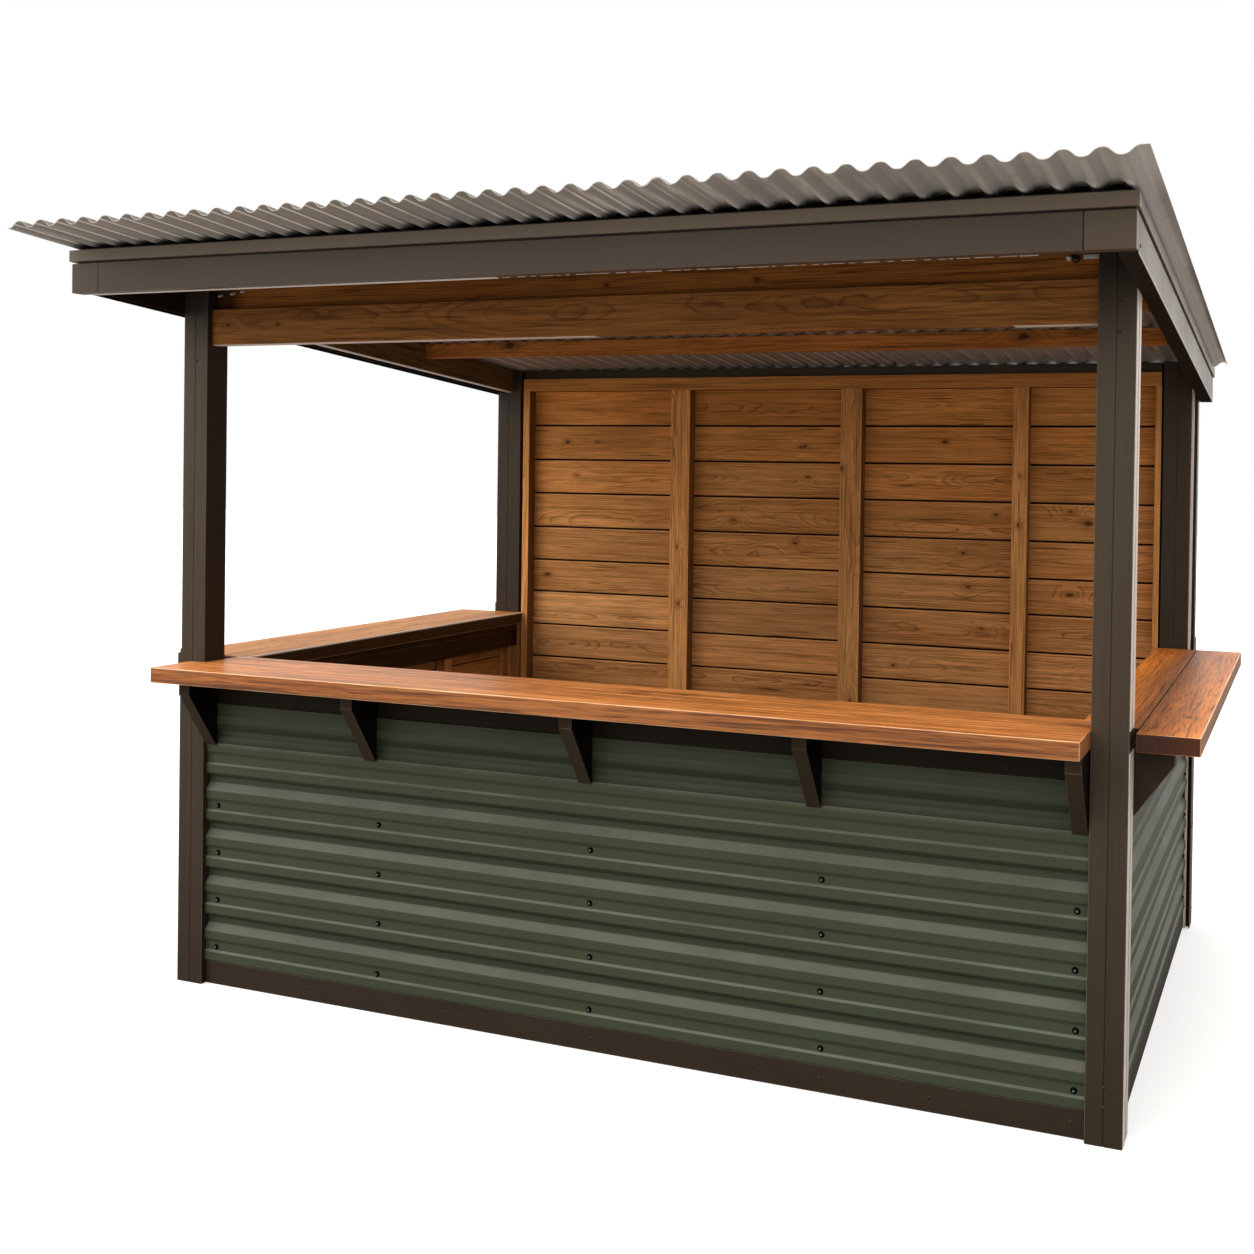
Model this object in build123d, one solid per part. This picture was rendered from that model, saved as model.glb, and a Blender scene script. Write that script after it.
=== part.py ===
from build123d import *
import os, math

# ---------------------------------------------------------------------------
# Open-sided wooden market stall: four dark posts, three half-height walls clad
# with ribbed metal, a full-height board wall at the back, three serving
# counters on brackets, and a lean-to roof of corrugated sheets with the high
# side at the front.
#
# Layout numbers are given from the outer face of the front left post
# (x = 0, to the right), from the front faces of the front posts (y = 0, to the
# back) and from the ground (z = 0).  CX and CY move them into the part's own
# frame, whose origin is the bottom centre of its bounding box.
# All sizes in millimetres.
# ---------------------------------------------------------------------------
W = 3000.0            # over the posts, left to right
D = 2050.0            # over the posts, front to back
P = 95.0              # front post, square; also wall thickness
PB = 130.0            # back post, width along x (depth is P)

SLOPE = 0.086         # fall of the roof, front to back
ROOF_Y0 = -650.0      # front edge of the roof sheets
ROOF_Y1 = 2120.0      # back edge of the roof sheets
ROOF_X0 = -48.0       # left edge of the roof sheets
ROOF_X1 = 3096.0      # right edge
ROOF_Z0 = 2355.0      # middle of the corrugation at the front edge
PITCH = 77.05         # corrugation
WAVE_X0 = -40.5       # middle of the first valley
WAVE = 18.0           # corrugation depth
SHEET_T = 2.0         # sheet thickness as modelled
LAP_X = 2010.0        # joint of the two roof sheets

COUNTER_Z = 1045.0    # top of the counters
COUNTER_T = 48.0
FRONT_OUT = 176.0     # front counter, in front of the posts
FRONT_IN = 168.0      # front counter, back edge behind the post fronts
FRONT_X0 = 38.0       # left end of the front counter
SIDE_OUT = 170.0      # side counters beyond the post faces
SIDE_IN = 135.0       # side counters, inner edge from the post's outer face
RIGHT_Y0 = 12.0       # front end of the right counter
RIGHT_GAP = 12.0      # gap between the front right post and the counter's end

RAIL_IN = 20.0        # rails sit this far inside the posts' outer faces
RAIL_Z1 = 75.0        # bottom rail height
TOP_Z0 = 911.0        # underside of the top rails
CLAD_IN = 15.0        # crest of the cladding inside the posts' outer faces
CLAD_IN_BACK = 5.0    # the same on the back wall
RIB_PERIOD = 152.0
RIB_DEPTH = 18.0      # deep valley of the ribbed sheet
SWAGE_DEPTH = 6.5     # shallow pan between two crests, on the screw lines
RIB_Z = 49.5          # a deep valley
LINING_T = 13.0

BEAM_Z0, BEAM_Z1 = 2070.0, 2184.0
BEAM_IN, BEAM_T = 20.0, 45.0
HEADER_IN, HEADER_T = 42.0, 35.0
RAFTER_X0, RAFTER_X1 = 32.0, 77.0
RAFTER_H0, RAFTER_H1 = 124.0, 98.0      # left rafter's depth at the front and at the back
SLIM_RAFTER_T, SLIM_RAFTER_H = 45.0, 50.0    # right rafter, against the barge board
PURLIN_Y = [720.0, 1280.0]
PURLIN_T, PURLIN_H = 45.0, 58.0
PLATE_Z0, PLATE_Z1 = 2030.0, 2083.0     # timber top plate of the back wall
STUD_BACK_D = 55.0

LEFT_BARGE_H0, LEFT_BARGE_H1 = 78.0, 48.0    # left barge board, front and back height
FASCIA_Y = -419.0     # front face of the fascia
FASCIA_T = 45.0
FASCIA_H = 89.0
TRIM_H = 35.0
TRIM_DROP = 10.0      # upper trim below the valleys of the roof sheet
CLOSURE_IN = 22.0     # the strip that closes that gap lies this far in
TRIM_OUT = 6.0        # upper trim stands proud of the fascia
GAP = 3.0             # shadow gap between fascia and upper trim
BARGE_Y1 = 2080.0
BACK_FASCIA_T = 30.0

BRACKET_T = 42.0
BRACKET_OUT = 115.0
BRACKET_NOSE = 42.0
BRACKET_H = 220.0
SIDE_BRACKET_OUT = 102.0
SIDE_BRACKET_H = 196.0

PLATE_T = 4.0         # side plates on the posts
PLATE_TOP = 1083.0

X_MIN, X_MAX = -SIDE_OUT, W + SIDE_OUT
CX = (X_MIN + X_MAX) / 2
CY = (ROOF_Y0 + ROOF_Y1) / 2

UNDER = WAVE / 2 * math.cos(math.pi / 8) + SHEET_T / 2   # wave middle to underside


def z_mid(y):
    return ROOF_Z0 - SLOPE * (y - ROOF_Y0)


def z_under(y):
    """underside of the roof sheet's valleys"""
    return z_mid(y) - UNDER


def box(x0, x1, y0, y1, z0, z1):
    return Pos((x0 + x1) / 2 - CX, (y0 + y1) / 2 - CY, (z0 + z1) / 2) * Box(x1 - x0, y1 - y0, z1 - z0)


def prism_x(pts, x0, x1):
    """closed outline of (y, z) points, drawn out along x"""
    wire = Polyline(*[(x0 - CX, y - CY, z) for y, z in pts], close=True)
    return extrude(make_face(wire), amount=x1 - x0, dir=(1, 0, 0))


def prism_y(pts, y0, y1):
    """closed outline of (x, z) points, drawn out along y"""
    wire = Polyline(*[(x - CX, y0 - CY, z) for x, z in pts], close=True)
    return extrude(make_face(wire), amount=y1 - y0, dir=(0, 1, 0))


def prism_z(pts, z0, z1):
    """closed outline of (x, y) points, drawn out upwards"""
    wire = Polyline(*[(x - CX, y - CY, z0) for x, y in pts], close=True)
    return extrude(make_face(wire), amount=z1 - z0, dir=(0, 0, 1))


parts = {}

# --- posts, cut to the slope of the roof --------------------------------------


def post(x0, x1, y0, y1):
    return prism_x([(y0, 0), (y1, 0), (y1, z_under(y1)), (y0, z_under(y0))], x0, x1)


YB0 = D - P           # front faces of the back posts
parts["post_front_left"] = post(0, P, 0, P)
parts["post_front_right"] = post(W - P, W, 0, P)
parts["post_back_left"] = post(0, PB, YB0, D)
parts["post_back_right"] = post(W - PB, W, YB0, D)

parts["post_side_plates"] = [
    box(-PLATE_T, 0, 0, P, 0, PLATE_TOP),
    box(-PLATE_T, 0, YB0, D, 0, PLATE_TOP),
    box(W, W + PLATE_T, YB0, D, 0, PLATE_TOP),
]

# --- ribbed cladding ----------------------------------------------------------


def rib_outline(z0, z1):
    """outer line of the ribbed sheet as (depth, z), depth 0 at the crests:
    a deep valley, a crest, a shallow pan and a second crest in each period"""
    one = [(SWAGE_DEPTH, -91.5), (SWAGE_DEPTH, -64.0), (0.0, -54.0), (0.0, -28.0),
           (RIB_DEPTH, -6.0), (RIB_DEPTH, 14.0), (0.0, 29.0), (0.0, 56.5)]
    k0 = int(math.floor((z0 - RIB_Z) / RIB_PERIOD)) - 1
    k1 = int(math.ceil((z1 - RIB_Z) / RIB_PERIOD)) + 1
    line = [(d, RIB_Z + k * RIB_PERIOD + z) for k in range(k0, k1 + 1) for d, z in one]

    def at(z):
        for (d0, a), (d1, b) in zip(line, line[1:]):
            if a <= z <= b:
                return d0 + (d1 - d0) * (z - a) / (b - a)
        return RIB_DEPTH
    pts = [(at(z0), z0)]
    pts += [(d, z) for d, z in line if z0 + 0.5 < z < z1 - 0.5]
    pts.append((at(z1), z1))
    return pts


def rib_section(z0, z1, place):
    """closed section of the sheet; place maps depth to the wall's axis"""
    line = rib_outline(z0, z1)
    return [(place(d), z) for d, z in line] + [(place(d + SHEET_T), z) for d, z in reversed(line)]


CZ0, CZ1 = RAIL_Z1, TOP_Z0
parts["front_cladding"] = prism_x(rib_section(CZ0, CZ1, lambda d: CLAD_IN + d), P, W - P)
parts["left_cladding"] = prism_y(rib_section(CZ0, CZ1, lambda d: CLAD_IN + d), P, YB0)
parts["right_cladding"] = prism_y(rib_section(CZ0, CZ1, lambda d: W - CLAD_IN - d), P, YB0)
parts["back_cladding"] = prism_x(rib_section(CZ0, PLATE_Z1, lambda d: D - CLAD_IN_BACK - d), PB, W - PB)

# --- rails --------------------------------------------------------------------
TZ1 = COUNTER_Z - COUNTER_T
parts["front_bottom_rail"] = box(P, W - P, RAIL_IN, P, 0, RAIL_Z1)
parts["left_bottom_rail"] = box(RAIL_IN, P, P, YB0, 0, RAIL_Z1)
parts["right_bottom_rail"] = box(W - P, W - RAIL_IN, P, YB0, 0, RAIL_Z1)
parts["back_bottom_rail"] = box(PB, W - PB, YB0, D - CLAD_IN_BACK, 0, RAIL_Z1)
parts["front_top_rail"] = box(P, W - P, RAIL_IN, P, TOP_Z0, TZ1)
parts["left_top_rail"] = box(RAIL_IN, P, P, YB0, TOP_Z0, TZ1)
parts["right_top_rail"] = box(W - P, W - RAIL_IN, P, YB0, TOP_Z0, TZ1)

# --- board lining behind the studs ---------------------------------------------
L0 = CLAD_IN + RIB_DEPTH + SHEET_T
L1 = L0 + LINING_T
parts["front_board_lining"] = box(P, W - P, L0, L1, RAIL_Z1, TOP_Z0)
parts["left_board_lining"] = box(L0, L1, P, YB0, RAIL_Z1, TOP_Z0)
parts["right_board_lining"] = box(W - L1, W - L0, P, YB0, RAIL_Z1, TOP_Z0)
LB1 = YB0 + STUD_BACK_D
LB0 = D - CLAD_IN_BACK - RIB_DEPTH - SHEET_T
parts["back_board_lining"] = box(PB, W - PB, LB1, LB0, RAIL_Z1, PLATE_Z1)

# --- studs ----------------------------------------------------------------------
FRONT_STUDS = [(95, 160), (739, 784), (1466, 1511), (2174, 2219), (2850, 2905)]
SIDE_STUDS = [(95, 140), (885, 930), (1408, 1453), (1910, 1955)]
BACK_STUDS = [(130, 162), (851, 940), (1610, 1700), (2313, 2374), (2848, 2870)]
parts["front_studs"] = [box(a, b, L1, P, RAIL_Z1, TOP_Z0) for a, b in FRONT_STUDS]
parts["left_studs"] = [box(L1, P, a, b, RAIL_Z1, TOP_Z0) for a, b in SIDE_STUDS]
parts["right_studs"] = [box(W - P, W - L1, a, b, RAIL_Z1, TOP_Z0) for a, b in SIDE_STUDS]
parts["back_studs"] = [box(a, b, YB0, LB1, RAIL_Z1, PLATE_Z0) for a, b in BACK_STUDS]
parts["back_top_plate"] = box(PB, W - PB, YB0, LB1, PLATE_Z0, PLATE_Z1)

HB0, HB1 = YB0 + 20, D - CLAD_IN_BACK
parts["back_head_rail"] = prism_x([(HB0, PLATE_Z1), (HB1, PLATE_Z1), (HB1, z_under(HB1)), (HB0, z_under(HB0))], PB, W - PB)

# --- counters -------------------------------------------------------------------
CB = COUNTER_Z - COUNTER_T
parts["front_counter"] = prism_z([
    (FRONT_X0, -FRONT_OUT), (W - P, -FRONT_OUT), (W - P, FRONT_IN), (P, FRONT_IN), (P, 0), (FRONT_X0, 0)], CB, COUNTER_Z)
parts["right_counter"] = prism_z([
    (W + RIGHT_GAP, RIGHT_Y0), (W + SIDE_OUT, RIGHT_Y0), (W + SIDE_OUT, YB0), (W - SIDE_IN, YB0), (W - SIDE_IN, FRONT_IN),
    (W - P, FRONT_IN), (W - P, P), (W + RIGHT_GAP, P)], CB, COUNTER_Z)
parts["left_counter"] = box(-SIDE_OUT, SIDE_IN, FRONT_IN, YB0, CB, COUNTER_Z)

# --- brackets -------------------------------------------------------------------
FB = CLAD_IN          # the brackets' backs stand on the rib crests


def front_bracket(x0):
    return prism_x([(RAIL_IN, CB), (-BRACKET_OUT, CB), (-BRACKET_OUT, CB - BRACKET_NOSE),
                    (FB - 6, CB - BRACKET_H), (FB, CB - BRACKET_H), (FB, TOP_Z0), (RAIL_IN, TOP_Z0)], x0, x0 + BRACKET_T)


def side_bracket(y0, side):
    def q(v):
        return v if side < 0 else W - v
    pts = [(q(RAIL_IN), CB), (q(-SIDE_BRACKET_OUT), CB), (q(-SIDE_BRACKET_OUT), CB - BRACKET_NOSE),
           (q(FB - 6), CB - SIDE_BRACKET_H), (q(FB), CB - SIDE_BRACKET_H), (q(FB), TOP_Z0), (q(RAIL_IN), TOP_Z0)]
    return prism_y(pts, y0, y0 + BRACKET_T)


parts["front_brackets"] = [front_bracket(x) for x in (96, 711, 1453, 2149, 2860)]
parts["left_brackets"] = [side_bracket(y, -1) for y in (200, 1000, 1860)]
parts["right_brackets"] = [side_bracket(y, 1) for y in (98, 1000, 1860)]

# --- roof timbers ----------------------------------------------------------------
parts["front_beam"] = box(P, W - P, BEAM_IN, BEAM_IN + BEAM_T, BEAM_Z0, BEAM_Z1)
h0, h1 = HEADER_IN, HEADER_IN + HEADER_T
parts["front_header"] = prism_x([(h0, BEAM_Z1), (h1, BEAM_Z1), (h1, z_under(h1)), (h0, z_under(h0))], P, W - P)


def rafter(x0, x1, d0, d1):
    return prism_x([(P, z_under(P) - d0), (YB0, z_under(YB0) - d1), (YB0, z_under(YB0)), (P, z_under(P))], x0, x1)


def purlin(y):
    p0, p1 = y - PURLIN_T / 2, y + PURLIN_T / 2
    return prism_x([(p0, z_under(p0) - PURLIN_H), (p1, z_under(p0) - PURLIN_H), (p1, z_under(p1)), (p0, z_under(p0))],
                   RAFTER_X1, W - SLIM_RAFTER_T)


parts["left_rafter"] = rafter(RAFTER_X0, RAFTER_X1, RAFTER_H0, RAFTER_H1)
parts["right_rafter"] = rafter(W - SLIM_RAFTER_T, W, SLIM_RAFTER_H, SLIM_RAFTER_H)
parts["front_purlin"] = purlin(PURLIN_Y[0])
parts["mid_purlin"] = purlin(PURLIN_Y[1])

# --- fascia, barge boards and their upper trims -------------------------------------
FX0, FX1 = -FASCIA_T, W + FASCIA_T
fy0, fy1 = FASCIA_Y, FASCIA_Y + FASCIA_T
top_in = TRIM_DROP + TRIM_H + GAP       # fascia top below the sheet


def down(y, h):
    return z_under(y) - h


parts["front_fascia"] = prism_x([(fy0, down(fy0, top_in + FASCIA_H)), (fy1, down(fy0, top_in + FASCIA_H)),
                                 (fy1, down(fy1, top_in)), (fy0, down(fy0, top_in))], FX0, FX1)
ty0 = fy0 - TRIM_OUT


def slab(ya, yb, h0, h1, x0, x1):
    """bar parallel to the roof, from h0 to h1 below the sheet's valleys"""
    return prism_x([(ya, down(ya, h1)), (yb, down(yb, h1)), (yb, down(yb, h0)), (ya, down(ya, h0))], x0, x1)


tb = TRIM_DROP + TRIM_H
parts["front_fascia_trim"] = (
    slab(ty0, fy1, TRIM_DROP, tb, FX0 - TRIM_OUT, FX1 + TRIM_OUT)
    + slab(fy0 + 12, fy1, tb, top_in, FX0 + 12, FX1 - 12)
    + slab(fy0 + CLOSURE_IN, fy1, 0, TRIM_DROP, FX0 + CLOSURE_IN, FX1 - CLOSURE_IN))


def barge(x0, x1, h0, h1):
    """board of height h0 at the front and h1 at the back"""
    return prism_x([(fy1, down(fy1, top_in + h0)), (BARGE_Y1, down(BARGE_Y1, top_in + h1)),
                    (BARGE_Y1, down(BARGE_Y1, top_in)), (fy1, down(fy1, top_in))], x0, x1)


def barge_trim(side):
    """upper trim with its spacer below and its closure strip above"""
    def bar(x_out, x_in, h0, h1):
        a, b = (-x_out, -x_in) if side < 0 else (W + x_in, W + x_out)
        return slab(fy1, BARGE_Y1, h0, h1, a, b)
    t = FASCIA_T
    return bar(t + TRIM_OUT, 0, TRIM_DROP, tb) + bar(t - 12, 0, tb, top_in) + bar(t - CLOSURE_IN, 0, 0, TRIM_DROP)


parts["left_barge_board"] = barge(FX0, 0, LEFT_BARGE_H0, LEFT_BARGE_H1)
parts["right_barge_board"] = barge(W, FX1, FASCIA_H, FASCIA_H)
parts["left_barge_trim"] = barge_trim(-1)
parts["right_barge_trim"] = barge_trim(1)
by0 = D
parts["back_fascia"] = prism_x([(by0, down(by0, top_in + FASCIA_H)), (by0 + BACK_FASCIA_T, down(by0 + BACK_FASCIA_T, top_in + FASCIA_H)),
                                (by0 + BACK_FASCIA_T, down(by0 + BACK_FASCIA_T, 0)), (by0, down(by0, 0))], 0, W)

# --- corrugated roof sheets --------------------------------------------------------


def wave_section(x0, x1):
    """closed section of a corrugated sheet in the plane of its front edge"""
    n0 = math.ceil((x0 - WAVE_X0) / (PITCH / 8) - 0.5 + 1e-6)
    xs = [x0]
    k = n0
    while WAVE_X0 + (k + 0.5) * PITCH / 8 < x1 - 0.5:
        x = WAVE_X0 + (k + 0.5) * PITCH / 8
        if x > x0 + 0.5:
            xs.append(x)
        k += 1
    xs.append(x1)

    def h(x):
        # each eighth of the pitch is straight, with a flat at crest and valley
        t = (x - WAVE_X0) / (PITCH / 8) - 0.5
        i = math.floor(t)
        def c(j):
            return -WAVE / 2 * math.cos(2 * math.pi * (j + 0.5) / 8)
        return c(i) + (c(i + 1) - c(i)) * (t - i)
    top = [(x, h(x) + SHEET_T / 2) for x in xs]
    bot = [(x, h(x) - SHEET_T / 2) for x in reversed(xs)]
    return top + bot


def roof_sheet(x0, x1):
    wire = Polyline(*[(x - CX, ROOF_Y0 - CY, ROOF_Z0 + z) for x, z in wave_section(x0, x1)], close=True)
    run = ROOF_Y1 - ROOF_Y0
    length = run * math.hypot(1.0, SLOPE)
    return extrude(make_face(wire), amount=length, dir=(0, 1, -SLOPE))


parts["roof_sheet_left"] = roof_sheet(ROOF_X0, LAP_X)
parts["roof_sheet_right"] = roof_sheet(LAP_X, ROOF_X1)

# --- write one file per named piece ---------------------------------------------------
os.makedirs("parts", exist_ok=True)
for name, shape in parts.items():
    if isinstance(shape, list):
        shape = Compound(children=[s if isinstance(s, Solid) else s.solid() for s in shape])
    export_step(shape, os.path.join("parts", name + ".step"))
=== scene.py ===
import bpy, bmesh, math, random, zlib
from mathutils import Vector, Matrix


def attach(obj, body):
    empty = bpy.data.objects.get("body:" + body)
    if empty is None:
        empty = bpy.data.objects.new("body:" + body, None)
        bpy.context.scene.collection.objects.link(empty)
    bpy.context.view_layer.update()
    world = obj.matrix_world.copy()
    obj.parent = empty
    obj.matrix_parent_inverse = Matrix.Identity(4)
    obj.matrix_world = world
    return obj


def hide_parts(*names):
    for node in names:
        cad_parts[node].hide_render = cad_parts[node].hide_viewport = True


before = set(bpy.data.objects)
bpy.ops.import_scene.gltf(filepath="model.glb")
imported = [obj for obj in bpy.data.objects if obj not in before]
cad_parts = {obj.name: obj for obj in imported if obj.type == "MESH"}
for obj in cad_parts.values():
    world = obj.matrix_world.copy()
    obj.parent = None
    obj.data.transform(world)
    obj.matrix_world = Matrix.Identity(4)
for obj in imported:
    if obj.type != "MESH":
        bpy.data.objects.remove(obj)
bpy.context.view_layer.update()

# ---------------------------------------------------------------------------
# Layout in millimetres: x from the outer face of the front left post, y from
# the front faces of the front posts, z from the ground.
# ---------------------------------------------------------------------------
W, D, P, PB = 3000.0, 2050.0, 95.0, 130.0
CX, CY = 1500.0, 735.0
SLOPE, ROOF_Y0, ROOF_Y1, ROOF_X0, ROOF_X1, ROOF_Z0 = 0.086, -650.0, 2120.0, -48.0, 3096.0, 2355.0
PITCH, WAVE, SHEET_T, LAP_X = 77.05, 18.0, 2.0, 2010.0
COUNTER_Z, COUNTER_T = 1045.0, 48.0
CB = COUNTER_Z - COUNTER_T
FRONT_OUT, FRONT_IN, FRONT_X0, SIDE_OUT, SIDE_IN, RIGHT_Y0 = 176.0, 168.0, 38.0, 170.0, 135.0, 12.0
RAIL_IN, RAIL_Z1, TOP_Z0 = 20.0, 75.0, 911.0
CLAD_IN, CLAD_IN_BACK = 15.0, 5.0
RIB_PERIOD, RIB_DEPTH, SWAGE_DEPTH, RIB_Z = 152.0, 18.0, 6.5, 49.5
LINING_T = 13.0
FASCIA_Y, FASCIA_T, FASCIA_H = -419.0, 45.0, 89.0
TRIM_H, TRIM_DROP, CLOSURE_IN, TRIM_OUT, GAP = 35.0, 10.0, 22.0, 6.0, 3.0
BARGE_Y1, BACK_FASCIA_T = 2080.0, 30.0
LEFT_BARGE_H0, LEFT_BARGE_H1 = 78.0, 48.0
RAFTER_H0, RAFTER_H1 = 124.0, 98.0
PLATE_Z0, PLATE_Z1 = 2030.0, 2083.0
YB0 = D - P
L0 = CLAD_IN + RIB_DEPTH + SHEET_T
L1 = L0 + LINING_T
LB1 = YB0 + 55.0
LB0 = D - CLAD_IN_BACK - RIB_DEPTH - SHEET_T
UNDER = WAVE / 2 * math.cos(math.pi / 8) + SHEET_T / 2


def z_mid(y):
    return ROOF_Z0 - SLOPE * (y - ROOF_Y0)


def z_under(y):
    return z_mid(y) - UNDER


def M(x, y, z):
    return Vector(((x - CX) / 1000.0, (y - CY) / 1000.0, z / 1000.0))


# ---------------------------------------------------------------------------
# Node helpers
# ---------------------------------------------------------------------------
class Mat:
    def __init__(self, name):
        self.m = bpy.data.materials.new(name)
        self.m.use_nodes = True
        self.t = self.m.node_tree
        self.t.nodes.clear()
        self.out = self.t.nodes.new("ShaderNodeOutputMaterial")
        self.b = self.t.nodes.new("ShaderNodeBsdfPrincipled")
        self.t.links.new(self.b.outputs[0], self.out.inputs[0])

    def put(self, sock, v):
        if isinstance(v, bpy.types.NodeSocket):
            self.t.links.new(v, sock)
        elif v is not None:
            if isinstance(v, (tuple, list)) and len(v) == 3 and sock.type == "RGBA":
                v = (*v, 1.0)
            sock.default_value = v

    def set(self, **kw):
        names = {"color": "Base Color", "rough": "Roughness", "spec": "Specular IOR Level", "metal": "Metallic",
                 "normal": "Normal", "coat": "Coat Weight", "coat_rough": "Coat Roughness", "ior": "IOR"}
        for k, v in kw.items():
            self.put(self.b.inputs[names[k]], v)

    def math(self, op, a, b=None, c=None, clamp=False):
        n = self.t.nodes.new("ShaderNodeMath")
        n.operation, n.use_clamp = op, clamp
        for s, v in zip(n.inputs, (a, b, c)):
            self.put(s, v)
        return n.outputs[0]

    def vmath(self, op, a, b=None):
        n = self.t.nodes.new("ShaderNodeVectorMath")
        n.operation = op
        self.put(n.inputs[0], a)
        if b is not None:
            self.put(n.inputs[1], b)
        return n.outputs["Value"] if op in ("LENGTH", "DOT_PRODUCT") else n.outputs[0]

    def attr(self, name):
        n = self.t.nodes.new("ShaderNodeAttribute")
        n.attribute_type, n.attribute_name = "GEOMETRY", name
        return n

    def vec(self, name):
        return self.attr(name).outputs["Vector"]

    def fac(self, name):
        return self.attr(name).outputs["Fac"]

    def col(self, name):
        return self.attr(name).outputs["Color"]

    def xyz(self, v):
        n = self.t.nodes.new("ShaderNodeSeparateXYZ")
        self.put(n.inputs[0], v)
        return n.outputs

    def comb(self, x, y, z):
        n = self.t.nodes.new("ShaderNodeCombineXYZ")
        for s, v in zip(n.inputs, (x, y, z)):
            self.put(s, v)
        return n.outputs[0]

    def noise(self, v, scale=1.0, detail=2.0, rough=0.5, dist=0.0):
        n = self.t.nodes.new("ShaderNodeTexNoise")
        self.put(n.inputs["Vector"], v)
        n.inputs["Scale"].default_value = scale
        n.inputs["Detail"].default_value = detail
        n.inputs["Roughness"].default_value = rough
        n.inputs["Distortion"].default_value = dist
        return n.outputs["Fac"]

    def ramp(self, f, stops, interp="LINEAR"):
        n = self.t.nodes.new("ShaderNodeValToRGB")
        n.color_ramp.interpolation = interp
        e = n.color_ramp.elements
        while len(e) < len(stops):
            e.new(0.5)
        for el, (p, c) in zip(e, stops):
            el.position = p
            el.color = (c, c, c, 1) if isinstance(c, (int, float)) else (*c, 1)
        self.put(n.inputs[0], f)
        return n.outputs[0]

    def mix(self, f, a, b, blend="MIX"):
        n = self.t.nodes.new("ShaderNodeMix")
        n.data_type, n.blend_type = "RGBA", blend
        self.put(n.inputs[0], f)
        self.put(n.inputs[6], a)
        self.put(n.inputs[7], b)
        return n.outputs[2]

    def remap(self, v, a, b, c=0.0, d=1.0, smooth=False):
        n = self.t.nodes.new("ShaderNodeMapRange")
        n.interpolation_type = "SMOOTHSTEP" if smooth else "LINEAR"
        n.clamp = True
        self.put(n.inputs[0], v)
        for i, q in enumerate((a, b, c, d)):
            n.inputs[i + 1].default_value = q
        return n.outputs[0]

    def bump(self, h, strength, distance, normal=None):
        n = self.t.nodes.new("ShaderNodeBump")
        n.inputs["Strength"].default_value = strength
        n.inputs["Distance"].default_value = distance
        self.put(n.inputs["Height"], h)
        if normal is not None:
            self.put(n.inputs["Normal"], normal)
        return n.outputs[0]

    def coords(self):
        n = self.t.nodes.new("ShaderNodeTexCoord")
        return n.outputs["Object"]


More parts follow.
